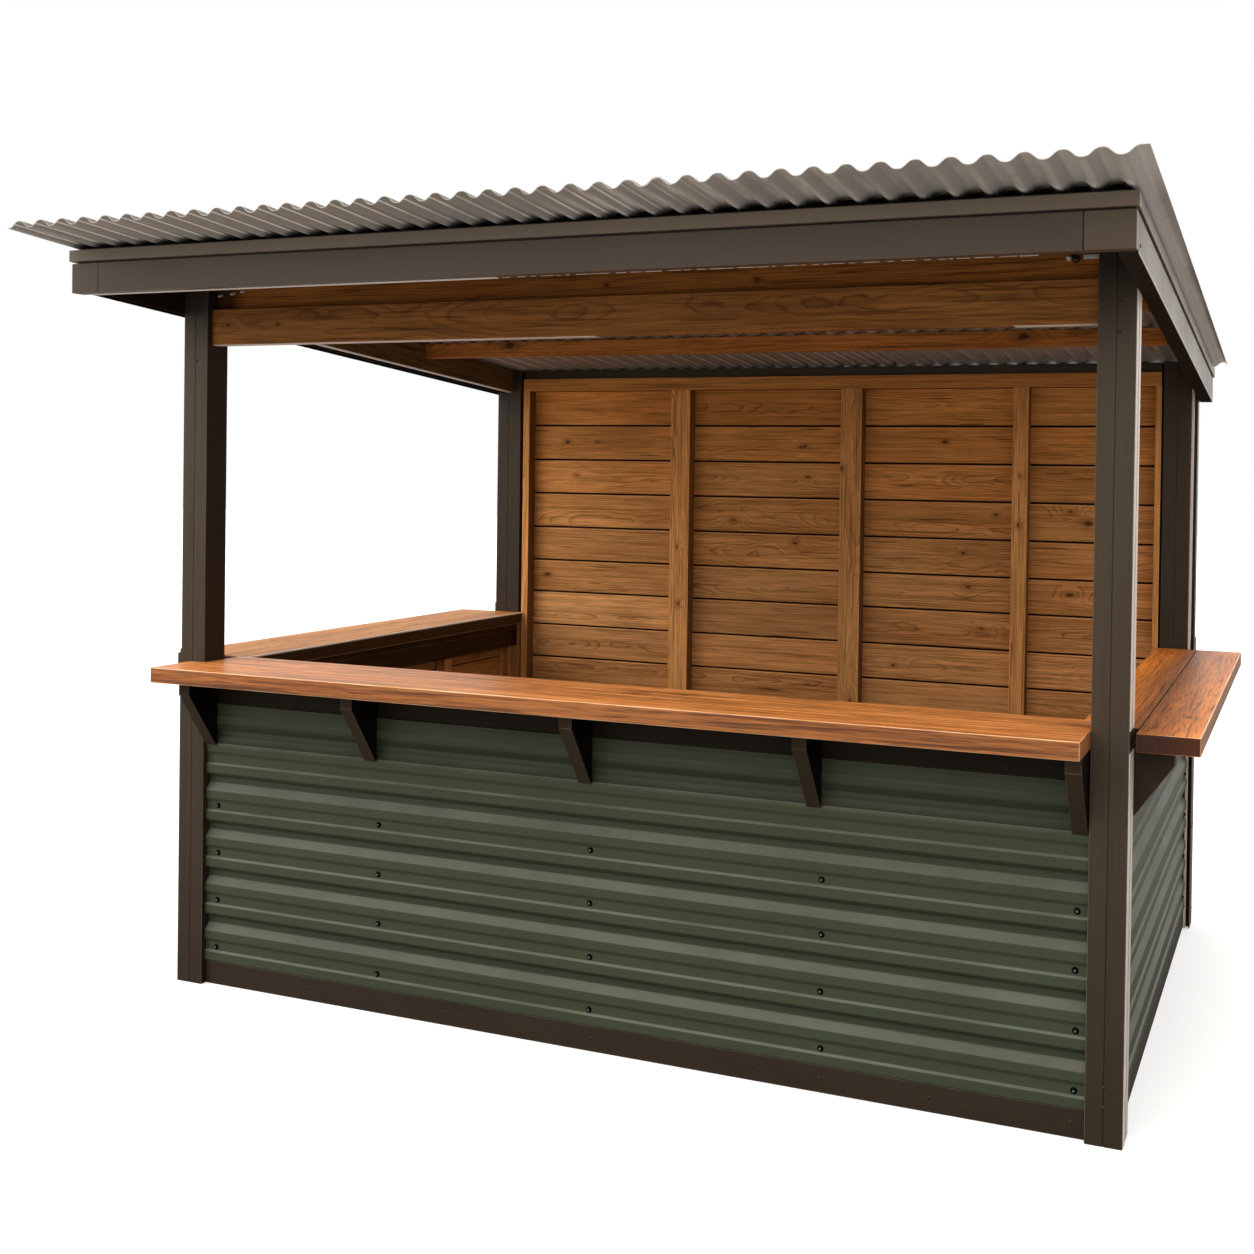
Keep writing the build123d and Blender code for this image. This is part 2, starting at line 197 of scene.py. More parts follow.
# ---------------------------------------------------------------------------
# Materials
# ---------------------------------------------------------------------------
def wood(name, light, mid, dark, freq, rough, spec, ring_amt=0.6, fibre_amt=0.35, pore_amt=0.25, edge_wear_and_highlight_amt=0.25, crack_amt=0.7,
         line_amt=0.4, bump=0.25, end_amt=0.55, painted_top_light=0.0, end_tint=(1.0, 1.0, 1.0), edge_highlight_col=None, line_lo=0.56):
    """Sawn softwood: growth rings round a pith line, fibres, pores, knots, checks.
    wco is (along, across, through) the board in metres, from its pith."""
    m = Mat(name)
    v, rnd = m.vec("wco"), m.vec("wrn")
    sh = m.vmath("MULTIPLY", rnd, (37.0, 41.0, 43.0))

    def grain(scale, detail=2.0, roughness=0.5):
        return m.noise(m.vmath("ADD", m.vmath("MULTIPLY", v, scale), sh), 1.0, detail, roughness)
    x, y, z = m.xyz(v)
    # slow wander of the rings along the board makes the arches and eyes
    w1 = grain((1.7, 2.0, 2.0))
    w2 = grain((5.5, 11.0, 11.0))
    w3 = grain((26.0, 75.0, 75.0))
    zz = m.math("ADD", z, m.math("MULTIPLY", m.math("SUBTRACT", w1, 0.5), 0.070))
    zz = m.math("ADD", zz, m.math("MULTIPLY", m.math("SUBTRACT", w2, 0.5), 0.020))
    yy = m.math("ADD", y, m.math("MULTIPLY", m.math("SUBTRACT", w2, 0.5), 0.014))
    r = m.math("SQRT", m.math("ADD", m.math("MULTIPLY", yy, yy), m.math("MULTIPLY", zz, zz)))
    r = m.math("ADD", r, m.math("MULTIPLY", m.math("SUBTRACT", w3, 0.5), 0.0028))
    # knots push the rings aside
    infl, core, halo = None, None, None
    for kn in ("knot", "knot2"):
        kx, ky, ks = m.xyz(m.vec(kn))
        dx = m.math("MULTIPLY", m.math("SUBTRACT", x, kx), 0.55)
        dy = m.math("SUBTRACT", y, ky)
        d = m.math("SQRT", m.math("ADD", m.math("MULTIPLY", dx, dx), m.math("MULTIPLY", dy, dy)))
        q = m.math("ADD", m.math("DIVIDE", d, ks), m.math("MULTIPLY", m.math("SUBTRACT", w3, 0.5), 1.5))
        e = m.math("EXPONENT", m.math("MULTIPLY", m.math("MULTIPLY", q, q), -0.07))
        c = m.remap(q, 1.15, 0.45, 0.0, 1.0, True)
        h = m.remap(q, 3.4, 0.8, 0.0, 1.0, True)
        infl = e if infl is None else m.math("MAXIMUM", infl, e)
        core = c if core is None else m.math("MAXIMUM", core, c)
        halo = h if halo is None else m.math("MAXIMUM", halo, h)
    r = m.math("ADD", r, m.math("MULTIPLY", infl, 0.022))
    ring = m.math("FRACT", m.math("MULTIPLY", r, freq))
    ring = m.ramp(ring, [(0.0, 0.0), (0.50, 0.06), (0.76, 0.40), (0.90, 1.0), (0.96, 0.5), (1.0, 0.0)])
    vary = grain((1.6, 16.0, 16.0))
    ring = m.math("MULTIPLY", ring, m.remap(vary, 0.34, 0.66, 0.12, 1.0, True))
    fibre = grain((5.0, 210.0, 210.0), 3.0, 0.65)
    streak = grain((1.5, 75.0, 75.0), 3.0, 0.6)
    broad = grain((1.7, 9.0, 9.0), 3.0, 0.55)
    pore = m.remap(grain((9.0, 230.0, 230.0), 1.0, 0.5), 0.55, 0.68, 0.0, 1.0, True)
    line = m.remap(grain((2.4, 120.0, 120.0), 2.0, 0.5), line_lo, line_lo + 0.13, 0.0, 1.0, True)
    crack = m.remap(grain((3.2, 95.0, 95.0), 1.0, 0.4), 0.735, 0.79, 0.0, 1.0, True)
    c = m.mix(m.remap(broad, 0.32, 0.66), light, mid)
    c = m.mix(m.math("MULTIPLY", line, line_amt), c, dark)
    c = m.mix(m.math("MULTIPLY", ring, ring_amt), c, dark)
    f = m.math("ADD", m.math("MULTIPLY", m.math("SUBTRACT", fibre, 0.5), fibre_amt * 1.7),
               m.math("MULTIPLY", m.math("SUBTRACT", streak, 0.5), fibre_amt * 2.2))
    f = m.math("ADD", f, 1.0)
    c = m.mix(1.0, c, m.comb(f, f, f), "MULTIPLY")
    c = m.mix(m.math("MULTIPLY", pore, pore_amt), c, tuple(q * 0.6 for q in dark))
    c = m.mix(1.0, c, m.col("tone"), "MULTIPLY")
    kd = tuple(q * 0.30 for q in dark)
    c = m.mix(m.math("MULTIPLY", halo, 0.38), c, dark)
    c = m.mix(m.math("MULTIPLY", core, 0.78), c, kd)
    c = m.mix(m.math("MULTIPLY", crack, crack_amt), c, tuple(q * 0.22 for q in dark))
    # lighter rounded edges: painted highlight with some wear; the pale edge colour given for the counters is a painted
    # highlight
    ed = m.math("MULTIPLY", m.fac("edge"), m.remap(w2, 0.35, 0.65, 0.3, 1.0))
    edge_highlight = edge_highlight_col or tuple(min(1.0, q * 1.45 + 0.03) for q in light)
    c = m.mix(m.math("MULTIPLY", ed, edge_wear_and_highlight_amt), c, edge_highlight)
    # painted light: faces that look upwards are made lighter
    if painted_top_light:
        g = m.t.nodes.new("ShaderNodeNewGeometry")
        up = m.remap(m.xyz(g.outputs["Normal"])[2], 0.3, 0.95, 1.0, 1.0 + painted_top_light, True)
        c = m.mix(1.0, c, m.comb(up, up, up), "MULTIPLY")
    endl = tuple(q * t * 0.95 for q, t in zip(dark, end_tint))
    endc = m.mix(m.math("MULTIPLY", ring, 0.85), endl, tuple(q * 0.22 for q in endl))
    c = m.mix(m.math("MULTIPLY", m.fac("endg"), end_amt), c, endc)
    # dark mark: painted shade in gaps and recesses and on faces turned from the light, also dark joints between planks
    c = m.mix(m.math("MULTIPLY", m.fac("dirt"), 0.94), c, tuple(q * 0.05 for q in dark))
    ro = m.math("ADD", m.math("MULTIPLY", ring, -0.08), m.math("MULTIPLY", fibre, 0.16))
    ro = m.math("ADD", ro, rough - 0.03, clamp=True)
    hgt = m.math("ADD", m.math("MULTIPLY", ring, 0.5), m.math("MULTIPLY", fibre, 0.6))
    hgt = m.math("SUBTRACT", hgt, m.math("ADD", m.math("MULTIPLY", crack, 1.6), m.math("MULTIPLY", pore, 0.5)))
    m.set(color=c, rough=ro, spec=spec, normal=m.bump(hgt, bump, 0.0012))
    return m.m


def paint(name, base, rough, spec, streak_amt=0.18, edge_wear_and_highlight_amt=0.35, grain=0.12):
    """Dark paint over planed timber: faint fibres show, edges are lighter from wear and a painted highlight. It is
    painted lighter and greyer towards the top and near black close under the roof, as painted light and shade.
    """
    m = Mat(name)
    v, rnd = m.vec("wco"), m.vec("wrn")
    sh = m.vmath("MULTIPLY", rnd, (37.0, 41.0, 43.0))
    st = m.noise(m.vmath("ADD", m.vmath("MULTIPLY", v, (1.2, 70.0, 70.0)), sh), 1.0, 3.0, 0.6)
    fine = m.noise(m.vmath("ADD", m.vmath("MULTIPLY", v, (6.0, 330.0, 330.0)), sh), 1.0, 3.0, 0.6)
    blot = m.noise(m.vmath("ADD", m.vmath("MULTIPLY", v, (3.0, 9.0, 9.0)), sh), 1.0, 4.0, 0.6)
    f = m.math("ADD", m.math("MULTIPLY", m.math("SUBTRACT", st, 0.5), streak_amt * 2.4),
               m.math("MULTIPLY", m.math("SUBTRACT", blot, 0.5), streak_amt * 1.6))
    f = m.math("ADD", f, m.math("MULTIPLY", m.math("SUBTRACT", fine, 0.5), streak_amt))
    f = m.math("ADD", f, 1.0)
    c = m.mix(1.0, base, m.comb(f, f, f), "MULTIPLY")
    c = m.mix(1.0, c, m.col("tone"), "MULTIPLY")
    # painted light and shade: lighter and greyer towards the top, darker and browner low, near black close under the
    # roof
    hz = m.xyz(m.coords())[2]
    c = m.mix(1.0, c, m.mix(m.remap(hz, 0.1, 1.9), (0.66, 0.58, 0.50), (1.50, 1.44, 1.40)), "MULTIPLY")
    c = m.mix(m.remap(hz, 1.98, 2.24, 0.0, 0.62, True), c, (0.006, 0.005, 0.004))
    # lighter edges: wear and painted highlight
    edge_wear_and_highlight = m.math("MULTIPLY", m.fac("edge"), m.remap(blot, 0.35, 0.6, 0.25, 1.0, True))
    c = m.mix(m.math("MULTIPLY", edge_wear_and_highlight, edge_wear_and_highlight_amt), c, (0.30, 0.25, 0.21))
    # dark mark: painted shade on faces turned from the light, also dark seams
    c = m.mix(m.math("MULTIPLY", m.fac("dirt"), 0.94), c, (0.0015, 0.0012, 0.001))
    ro = m.math("ADD", m.math("MULTIPLY", m.math("SUBTRACT", blot, 0.5), 0.22), rough, clamp=True)
    h = m.math("ADD", m.math("MULTIPLY", fine, 0.7), m.math("MULTIPLY", st, 0.5))
    m.set(color=c, rough=ro, spec=spec, normal=m.bump(h, grain, 0.001))
    return m.m


def sheet_metal(name, base, rough, spec, along, dust_and_top_light_col=(0.30, 0.29, 0.25), dust_and_top_light_amt=0.10, var=0.12, metal=0.0, edge_wear_and_highlight_amt=0.4, painted_shade_level=0.03, top=1.0):
    """Painted sheet: slow mottling, faint streaks along its length, settled dust on faces that look upwards, made
    stronger as painted light from above, a fine skin of texture. Lighter edge marks are painted highlights with some
    wear and dark marks are painted shade; a top below 1 darkens the upper faces, so the underside keeps a lighter copy
    as painted light."""
    m = Mat(name)
    co = m.coords()
    sc = (0.9, 26.0, 26.0) if along == "x" else (26.0, 0.9, 26.0)
    st = m.noise(m.vmath("MULTIPLY", co, sc), 1.0, 3.0, 0.6)
    blot = m.noise(co, 3.2, 4.0, 0.6)
    fine = m.noise(co, 420.0, 2.0, 0.6)
    drip = m.noise(m.vmath("MULTIPLY", co, (34.0, 34.0, 2.2)), 1.0, 3.0, 0.6)
    f = m.math("ADD", m.math("MULTIPLY", m.math("SUBTRACT", st, 0.5), var * 1.4),
               m.math("MULTIPLY", m.math("SUBTRACT", blot, 0.5), var * 1.8))
    f = m.math("ADD", f, m.math("MULTIPLY", m.math("SUBTRACT", drip, 0.5), var * 0.9))
    f = m.math("ADD", f, 1.0)
    c = m.mix(1.0, base, m.comb(f, f, f), "MULTIPLY")
    c = m.mix(1.0, c, m.col("tone"), "MULTIPLY")
    g = m.t.nodes.new("ShaderNodeNewGeometry")
    up = m.xyz(g.outputs["Normal"])[2]
    # painted light: with top below 1 the upper faces are darkened, so the underside keeps a lighter copy of the paint
    if top != 1.0:
        c = m.mix(m.remap(up, 0.1, 0.5, 0.0, 1.0, True), c, m.mix(1.0, c, (top, top, top), "MULTIPLY"))
    # dust on faces that look upwards, raised to serve also as painted light from above
    d = m.math("MULTIPLY", m.remap(up, 0.15, 0.8, 0.0, 1.0, True), m.remap(blot, 0.3, 0.65, 0.45, 1.0))
    c = m.mix(m.math("MULTIPLY", d, dust_and_top_light_amt), c, dust_and_top_light_col)
    # lighter edge marks: painted highlights along lines and edges, with some wear
    edge_wear_and_highlight = m.math("MULTIPLY", m.fac("edge"), m.remap(blot, 0.35, 0.6, 0.3, 1.0, True))
    c = m.mix(m.math("MULTIPLY", edge_wear_and_highlight, edge_wear_and_highlight_amt), c, tuple(min(1, q * 2.4 + 0.05) for q in base))
    # dark mark: painted shade
    c = m.mix(m.math("MULTIPLY", m.fac("dirt"), 0.95), c, tuple(q * painted_shade_level for q in base))
    ro = m.math("ADD", m.math("MULTIPLY", m.math("SUBTRACT", blot, 0.5), 0.2), rough)
    ro = m.math("ADD", ro, m.math("MULTIPLY", d, 0.12), clamp=True)
    h = m.math("ADD", m.math("MULTIPLY", fine, 0.25), m.math("MULTIPLY", m.noise(co, 9.0, 2.0), 2.4))
    m.set(color=c, rough=ro, spec=spec, metal=metal, normal=m.bump(h, 0.12, 0.0012))
    return m.m


def steel(name, base, rough, metal=0.9):
    m = Mat(name)
    co = m.coords()
    n1 = m.noise(co, 60.0, 3.0, 0.6)
    n2 = m.noise(co, 900.0, 2.0, 0.5)
    f = m.math("ADD", m.math("MULTIPLY", m.math("SUBTRACT", n1, 0.5), 0.5), 1.0)
    m.set(color=m.mix(1.0, base, m.comb(f, f, f), "MULTIPLY"), metal=metal, spec=0.5,
          rough=m.math("ADD", m.math("MULTIPLY", n1, 0.25), rough - 0.1, clamp=True), normal=m.bump(n2, 0.1, 0.0004))
    return m.m


def matt(name, base):
    """soft black with no sheen"""
    m = Mat(name)
    n = m.noise(m.coords(), 90.0, 3.0, 0.6)
    m.set(color=m.mix(1.0, base, m.comb(n, n, n), "MULTIPLY"), rough=0.95, spec=0.0)
    return m.m


MATS = {
    "paint": paint("frame_paint_dark", (0.050, 0.0375, 0.0255), 0.44, 0.17, grain=0.08),
    "bracket": paint("bracket_paint_dark", (0.034, 0.0255, 0.0160), 0.50, 0.07, edge_wear_and_highlight_amt=0.22),
    "fascia": sheet_metal("fascia_metal_bronze", (0.066, 0.0452, 0.0292), 0.42, 0.30, "x", var=0.10, dust_and_top_light_amt=0.05),
    # the cladding's strong dust on upward faces is also painted light from above
    "green": sheet_metal("cladding_metal_green", (0.0448, 0.0558, 0.0305), 0.46, 0.18, "x", var=0.16, dust_and_top_light_amt=0.30),
    # the roof paint is set light for the underside, as painted light; top=0.42 takes the upper side back to the sheet's
    # own grey
    "roof": sheet_metal("roof_metal_grey", (0.388, 0.368, 0.342), 0.44, 0.40, "y", var=0.16, dust_and_top_light_amt=0.06, top=0.42),
    "wall": wood("wall_timber_boards", (0.66, 0.300, 0.094), (0.52, 0.222, 0.061), (0.15, 0.047, 0.010), 160.0, 0.62, 0.12,
                 ring_amt=0.74, fibre_amt=0.55, pore_amt=0.25, edge_wear_and_highlight_amt=0.5, line_amt=0.50),
    "rooft": wood("roof_timber_boards", (0.30, 0.115, 0.026), (0.225, 0.082, 0.017), (0.06, 0.017, 0.003), 135.0, 0.60, 0.12,
                  ring_amt=0.7, fibre_amt=0.6, pore_amt=0.3, line_amt=0.6),
    # the counters' pale edge colour is a painted highlight, and their upward faces get painted light
    "counter": wood("counter_timber_oiled", (0.52, 0.195, 0.052), (0.41, 0.140, 0.034), (0.115, 0.030, 0.0055), 140.0, 0.32, 0.42,
                    ring_amt=0.48, fibre_amt=0.85, pore_amt=0.55, edge_wear_and_highlight_amt=0.85, end_amt=1.0, line_amt=0.70, painted_top_light=1.12,
                    end_tint=(0.50, 0.46, 0.45), edge_highlight_col=(0.84, 0.54, 0.30), line_lo=0.52),
    "white": sheet_metal("edge_strip_white", (0.86, 0.83, 0.79), 0.5, 0.2, "x", var=0.06, dust_and_top_light_amt=0.0),
    # matt black for foam and washers, also used as painted shade; matt brown used as painted shade
    "black_foam_and_shade": matt("black_foam_and_painted_shade", (0.008, 0.008, 0.008)),
    "shade_brown": matt("shaded_metal_brown", (0.060, 0.046, 0.034)),
    # the same painted highlight on the edges and painted light on upward faces
    "counter_side": wood("counter_timber_sides", (0.52, 0.195, 0.052), (0.41, 0.140, 0.034), (0.13, 0.034, 0.006), 150.0, 0.40, 0.30,
                         ring_amt=0.6, fibre_amt=0.6, pore_amt=0.5, edge_wear_and_highlight_amt=0.75, end_amt=1.0, line_amt=0.75, painted_top_light=1.5,
                         end_tint=(0.56, 0.46, 0.18), edge_highlight_col=(0.84, 0.54, 0.30)),
    "dull": steel("screw_dull", (0.10, 0.10, 0.09), 0.5, 0.2),
    "pale": sheet_metal("edge_strip_pale", (0.66, 0.58, 0.52), 0.45, 0.3, "x", var=0.10, dust_and_top_light_amt=0.05),
    "screw": steel("screw_dark", (0.014, 0.0135, 0.012), 0.34, 0.2),
    "zinc": steel("hardware_zinc", (0.62, 0.60, 0.57), 0.42, 0.3),
}


# ---------------------------------------------------------------------------
# Mesh accumulator: every vertex carries its grain coordinates, wear, and painted light and shade
# ---------------------------------------------------------------------------
class Piece:
    def __init__(self, name):
        self.name = name
        self.rng = random.Random(zlib.crc32(name.encode()))
        self.v, self.f, self.fm, self.n = [], [], [], []
        self.wco, self.wrn, self.knot, self.knot2, self.tone, self.edge, self.dirt, self.endg = [], [], [], [], [], [], [], []
        self.mats = []

    def slot_of(self, key):
        if key not in self.mats:
            self.mats.append(key)
        return self.mats.index(key)

    def extend(self, verts, faces, normals, key, wco=None, wrn=(0, 0, 0), knots=None, tone=(1, 1, 1), edge=None, dirt=None, endg=None):
        o, k = len(self.v), len(verts)
        self.v += [tuple(p) for p in verts]
        self.f += [tuple(i + o for i in f) for f in faces]
        self.fm += [self.slot_of(key)] * len(faces)
        self.n += [tuple(q) for q in normals]
        self.wco += [tuple(q) for q in (wco or verts)]
        self.wrn += [tuple(wrn)] * k
        kk = (list(knots or []) + [(50.0, 50.0, 0.01)] * 2)[:2]
        self.knot += [tuple(kk[0])] * k
        self.knot2 += [tuple(kk[1])] * k
        self.tone += [(*q, 1.0) for q in (tone if isinstance(tone, list) else [tone] * k)]
        self.edge += list(edge or [0.0] * k)
        self.dirt += list(dirt or [0.0] * k)
        self.endg += list(endg or [0.0] * k)

    def make(self, slot=None, replaces=()):
        me = bpy.data.meshes.new(self.name)
        me.from_pydata(self.v, [], self.f)
        for key in self.mats:
            me.materials.append(MATS[key])
        me.polygons.foreach_set("material_index", self.fm)
        me.polygons.foreach_set("use_smooth", [True] * len(self.f))
        for nm, kind, data in (("wco", "FLOAT_VECTOR", self.wco), ("wrn", "FLOAT_VECTOR", self.wrn),
                               ("knot", "FLOAT_VECTOR", self.knot), ("knot2", "FLOAT_VECTOR", self.knot2)):
            a = me.attributes.new(nm, kind, "POINT")
            a.data.foreach_set("vector", [c for q in data for c in q])
        a = me.attributes.new("tone", "FLOAT_COLOR", "POINT")
        a.data.foreach_set("color", [c for q in self.tone for c in q])
        for nm, data in (("edge", self.edge), ("dirt", self.dirt), ("endg", self.endg)):
            a = me.attributes.new(nm, "FLOAT", "POINT")
            a.data.foreach_set("value", data)
        me.update()
        me.normals_split_custom_set_from_vertices(self.n)
        ob = bpy.data.objects.new(self.name, me)
        bpy.context.scene.collection.objects.link(ob)
        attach(ob, "root")
        if replaces:
            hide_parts(*replaces)
        return ob


AXES = {"x": Vector((1, 0, 0)), "y": Vector((0, 1, 0)), "z": Vector((0, 0, 1))}


def weighted(bm):
    out = []
    for v in bm.verts:
        s = Vector((0, 0, 0))
        for f in v.link_faces:
            s += f.normal * f.calc_area()
        out.append(s.normalized() if s.length > 0 else Vector((0, 0, 1)))
    return out


def prism(pc, poly, vec, key, grain="x", thick="y", bevel=2.0, segs=2, tone_var=0.10, tone=1.0, knots=None, knot_p=0.0,
          dirt_fn=None, pith=None, hue=0.04, tint=(1, 1, 1), end=1.0, cuts=(), edge_fn=None, tone_fn=None):
    """closed outline (mm points) drawn out along vec (mm), with rounded edges; cuts are (axis, mm) planes that give the
    wear and the painted light and shade a vertex to sit on"""
    rng = pc.rng
    bm = bmesh.new()
    e = Vector(vec) / 1000.0
    a = [bm.verts.new(M(*p)) for p in poly]
    b = [bm.verts.new(M(*p) + e) for p in poly]
    n = len(poly)
    bm.faces.new(a[::-1])
    bm.faces.new(b)
    for i in range(n):
        bm.faces.new((a[i], a[(i + 1) % n], b[(i + 1) % n], b[i]))
    bmesh.ops.recalc_face_normals(bm, faces=bm.faces[:])
    bm.normal_update()
    planes = [(f.normal.copy(), f.calc_center_median().copy()) for f in bm.faces]
    cen = sum((v.co for v in bm.verts), Vector()) / len(bm.verts)
    if bevel:
        bmesh.ops.bevel(bm, geom=bm.edges[:], offset=bevel / 1000.0, offset_type="OFFSET", segments=segs, profile=0.5,
                        affect="EDGES", clamp_overlap=True)
        bm.normal_update()
    for ax, q in cuts:
        at = M(*[q if ax == c else 0.0 for c in "xyz"])
        bmesh.ops.bisect_plane(bm, geom=bm.verts[:] + bm.edges[:] + bm.faces[:], plane_co=at, plane_no=AXES[ax])
    bm.normal_update()
    bm.verts.index_update()
    g = (AXES[grain] if isinstance(grain, str) else Vector(grain)).normalized()
    t = (AXES[thick] if isinstance(thick, str) else Vector(thick))
    t = (t - g * t.dot(g)).normalized()
    w = t.cross(g)
    if pith is None:
        if rng.random() < 0.62:
            pith = (rng.uniform(-0.05, 0.05), rng.choice((-1, 1)) * rng.uniform(0.035, 0.085))
        else:
            pith = (rng.choice((-1, 1)) * rng.uniform(0.07, 0.15), rng.choice((-1, 1)) * rng.uniform(0.03, 0.07))
    spans = [(v.co - cen).dot(g) for v in bm.verts], [(v.co - cen).dot(w) for v in bm.verts]
    lo, hi = min(spans[0]), max(spans[0])
    wl, wh = min(spans[1]), max(spans[1])
    kn = []
    if knots:
        for kx, ky, kz, ks in knots:
            q = M(kx, ky, kz) - cen
            kn.append((q.dot(g), q.dot(w) + pith[0], ks))
    while len(kn) < 2 and rng.random() < knot_p:
        kn.append((rng.uniform(lo, hi), rng.uniform(wl * 0.7, wh * 0.7) + pith[0], rng.uniform(0.006, 0.013)))
    lean = rng.uniform(-0.03, 0.03)
    wco, edge, endg = [], [], []
    for v in bm.verts:
        q = v.co - cen
        wco.append((q.dot(g), q.dot(w) + pith[0], q.dot(t) + pith[1] + lean * q.dot(g)))
        on = any(abs((v.co - c).dot(nn)) < 2e-6 for nn, c in planes)
        edge.append(0.0 if on or not bevel else 1.0)
        endg.append(end if any(abs(nn.dot(g)) > 0.9 and abs((v.co - c).dot(nn)) < 2e-6 for nn, c in planes) else 0.0)
    k = tone * (1 + rng.uniform(-tone_var, tone_var))
    hv = rng.uniform(-hue, hue)
    verts = [v.co.copy() for v in bm.verts]
    dirt = [dirt_fn(v) for v in verts] if dirt_fn else None
    if edge_fn:
        edge = [edge_fn(v, e) for e, v in zip(edge, verts)]
    tones = [(k * (1 + hv) * tint[0], k * tint[1], k * (1 - hv) * tint[2])] * len(verts)
    if tone_fn:
        tones = [tuple(a * b for a, b in zip(t0, tone_fn(v))) for t0, v in zip(tones, verts)]
    pc.extend(verts, [[v.index for v in f.verts] for f in bm.faces], weighted(bm), key, wco,
              (rng.random(), rng.random(), rng.random()), kn, tones, edge, dirt, endg)
    bm.free()


def bar(pc, x0, x1, y0, y1, z0, z1, key, grain="x", thick="y", **kw):
    prism(pc, [(x0, y0, z0), (x1, y0, z0), (x1, y1, z0), (x0, y1, z0)], (0, 0, z1 - z0), key, grain, thick, **kw)


def prism_x(pc, pts, x0, x1, key, grain="x", thick="y", **kw):
    prism(pc, [(x0, y, z) for y, z in pts], (x1 - x0, 0, 0), key, grain, thick, **kw)


def prism_y(pc, pts, y0, y1, key, grain="y", thick="x", **kw):
    prism(pc, [(x, y0, z) for x, z in pts], (0, y1 - y0, 0), key, grain, thick, **kw)


def prism_z(pc, pts, z0, z1, key, grain="x", thick="z", **kw):
    prism(pc, [(x, y, z0) for x, y in pts], (0, 0, z1 - z0), key, grain, thick, **kw)


def lathe(pc, profile, at, axis, key, segs=14, spin=0.0):
    """turned shape: profile of (radius, height) in mm, from its foot to its tip"""
    ax = Vector(axis).normalized()
    u = ax.orthogonal().normalized()
    w = ax.cross(u)
    c = M(*at)
    bm = bmesh.new()
    rows = []
    for r, h in profile:
        if r < 1e-6:
            rows.append([bm.verts.new(c + ax * (h / 1000.0))])
        else:
            rows.append([bm.verts.new(c + ax * (h / 1000.0) + (u * math.cos(2 * math.pi * i / segs + spin)
                                                               + w * math.sin(2 * math.pi * i / segs + spin)) * (r / 1000.0))
                         for i in range(segs)])
    for r0, r1 in zip(rows, rows[1:]):
        for i in range(segs):
            j = (i + 1) % segs
            if len(r1) == 1:
                bm.faces.new((r0[i], r0[j], r1[0]))
            else:
                bm.faces.new((r0[i], r0[j], r1[j], r1[i]))
    bm.normal_update()
    bm.verts.index_update()
    pc.extend([v.co.copy() for v in bm.verts], [[v.index for v in f.verts] for f in bm.faces], weighted(bm), key,
              edge=[0.0] * len(bm.verts))
    bm.free()


WASHER = [(9.0, -0.6), (9.0, 0.7), (8.5, 1.3), (5.8, 1.5), (5.4, 1.7), (5.4, 4.0), (4.9, 4.9), (3.6, 5.3), (0.0, 5.4)]
PAN = [(4.6, -0.5), (4.6, 0.5), (4.2, 1.4), (3.0, 2.1), (1.5, 2.4), (0.0, 2.45)]
BOLT = [(11.0, -0.5), (11.0, 1.2), (10.4, 1.7), (7.6, 1.8), (7.4, 2.2), (7.4, 6.4), (6.6, 7.4), (0.0, 7.6)]


def fillet(line, rad, n=3):
    """rounds the inner corners of an open polyline of (a, b) points"""
    out = [line[0]]
    for p, q, s in zip(line, line[1:], line[2:]):
        p, q, s = Vector(p), Vector(q), Vector(s)
        d0, d1 = (p - q), (s - q)
        k = min(rad, d0.length * 0.45, d1.length * 0.45)
        a, b = q + d0.normalized() * k, q + d1.normalized() * k
        for i in range(n + 1):
            t = i / n
            out.append(tuple(a * (1 - t) ** 2 + q * 2 * t * (1 - t) + b * t * t))
    out.append(line[-1])
    return out


def strip(pc, outer, inner, stations, put, key, cap=True, marks=None):
    """thin sheet: outer and inner lines of (depth, height), laid along stations;
    put(depth, height, station) gives the place in mm"""
    bm = bmesh.new()
    n = len(outer)

    def grid(line):
        return [[bm.verts.new(M(*put(d, h, s))) for d, h in line] for s in stations]
    go, gi = grid(outer), grid(inner)
    faces = []
    for g, flip in ((go, False), (gi, True)):
        for i in range(len(stations) - 1):
            for j in range(n - 1):
                q = (g[i][j], g[i][j + 1], g[i + 1][j + 1], g[i + 1][j])
                faces.append(bm.faces.new(q[::-1] if flip else q))
    main = set(v for row in go + gi for v in row)

    def band(r0, r1):
        # rims have their own vertices, so that they keep a crisp edge
        a = [bm.verts.new(v.co) for v in r0]
        b = [bm.verts.new(v.co) for v in r1]
        for i in range(len(a) - 1):
            bm.faces.new((a[i], a[i + 1], b[i + 1], b[i]))
    if cap:
        band(gi[0], go[0])
        band(go[-1], gi[-1])
        band([r[0] for r in go], [r[0] for r in gi])
        band([r[-1] for r in gi], [r[-1] for r in go])
    bm.normal_update()
    # orient by the first outer face: its normal looks away from the inner line
    f = faces[0]
    away = go[0][0].co - gi[0][0].co
    if f.normal.dot(away) < 0:
        bmesh.ops.reverse_faces(bm, faces=bm.faces[:])
        bm.normal_update()
    bm.verts.index_update()
    bm.verts.ensure_lookup_table()
    edge, dirt = [0.0 if v in main else 1.0 for v in bm.verts], [0.0] * len(bm.verts)
    if marks:
        for i, s in enumerate(stations):
            for j in range(n):
                for g, side in ((go, 1), (gi, -1)):
                    edge[g[i][j].index], dirt[g[i][j].index] = marks(j, s, side)
    pc.extend([v.co.copy() for v in bm.verts], [[v.index for v in f.verts] for f in bm.faces], weighted(bm), key,
              edge=edge, dirt=dirt)
    bm.free()


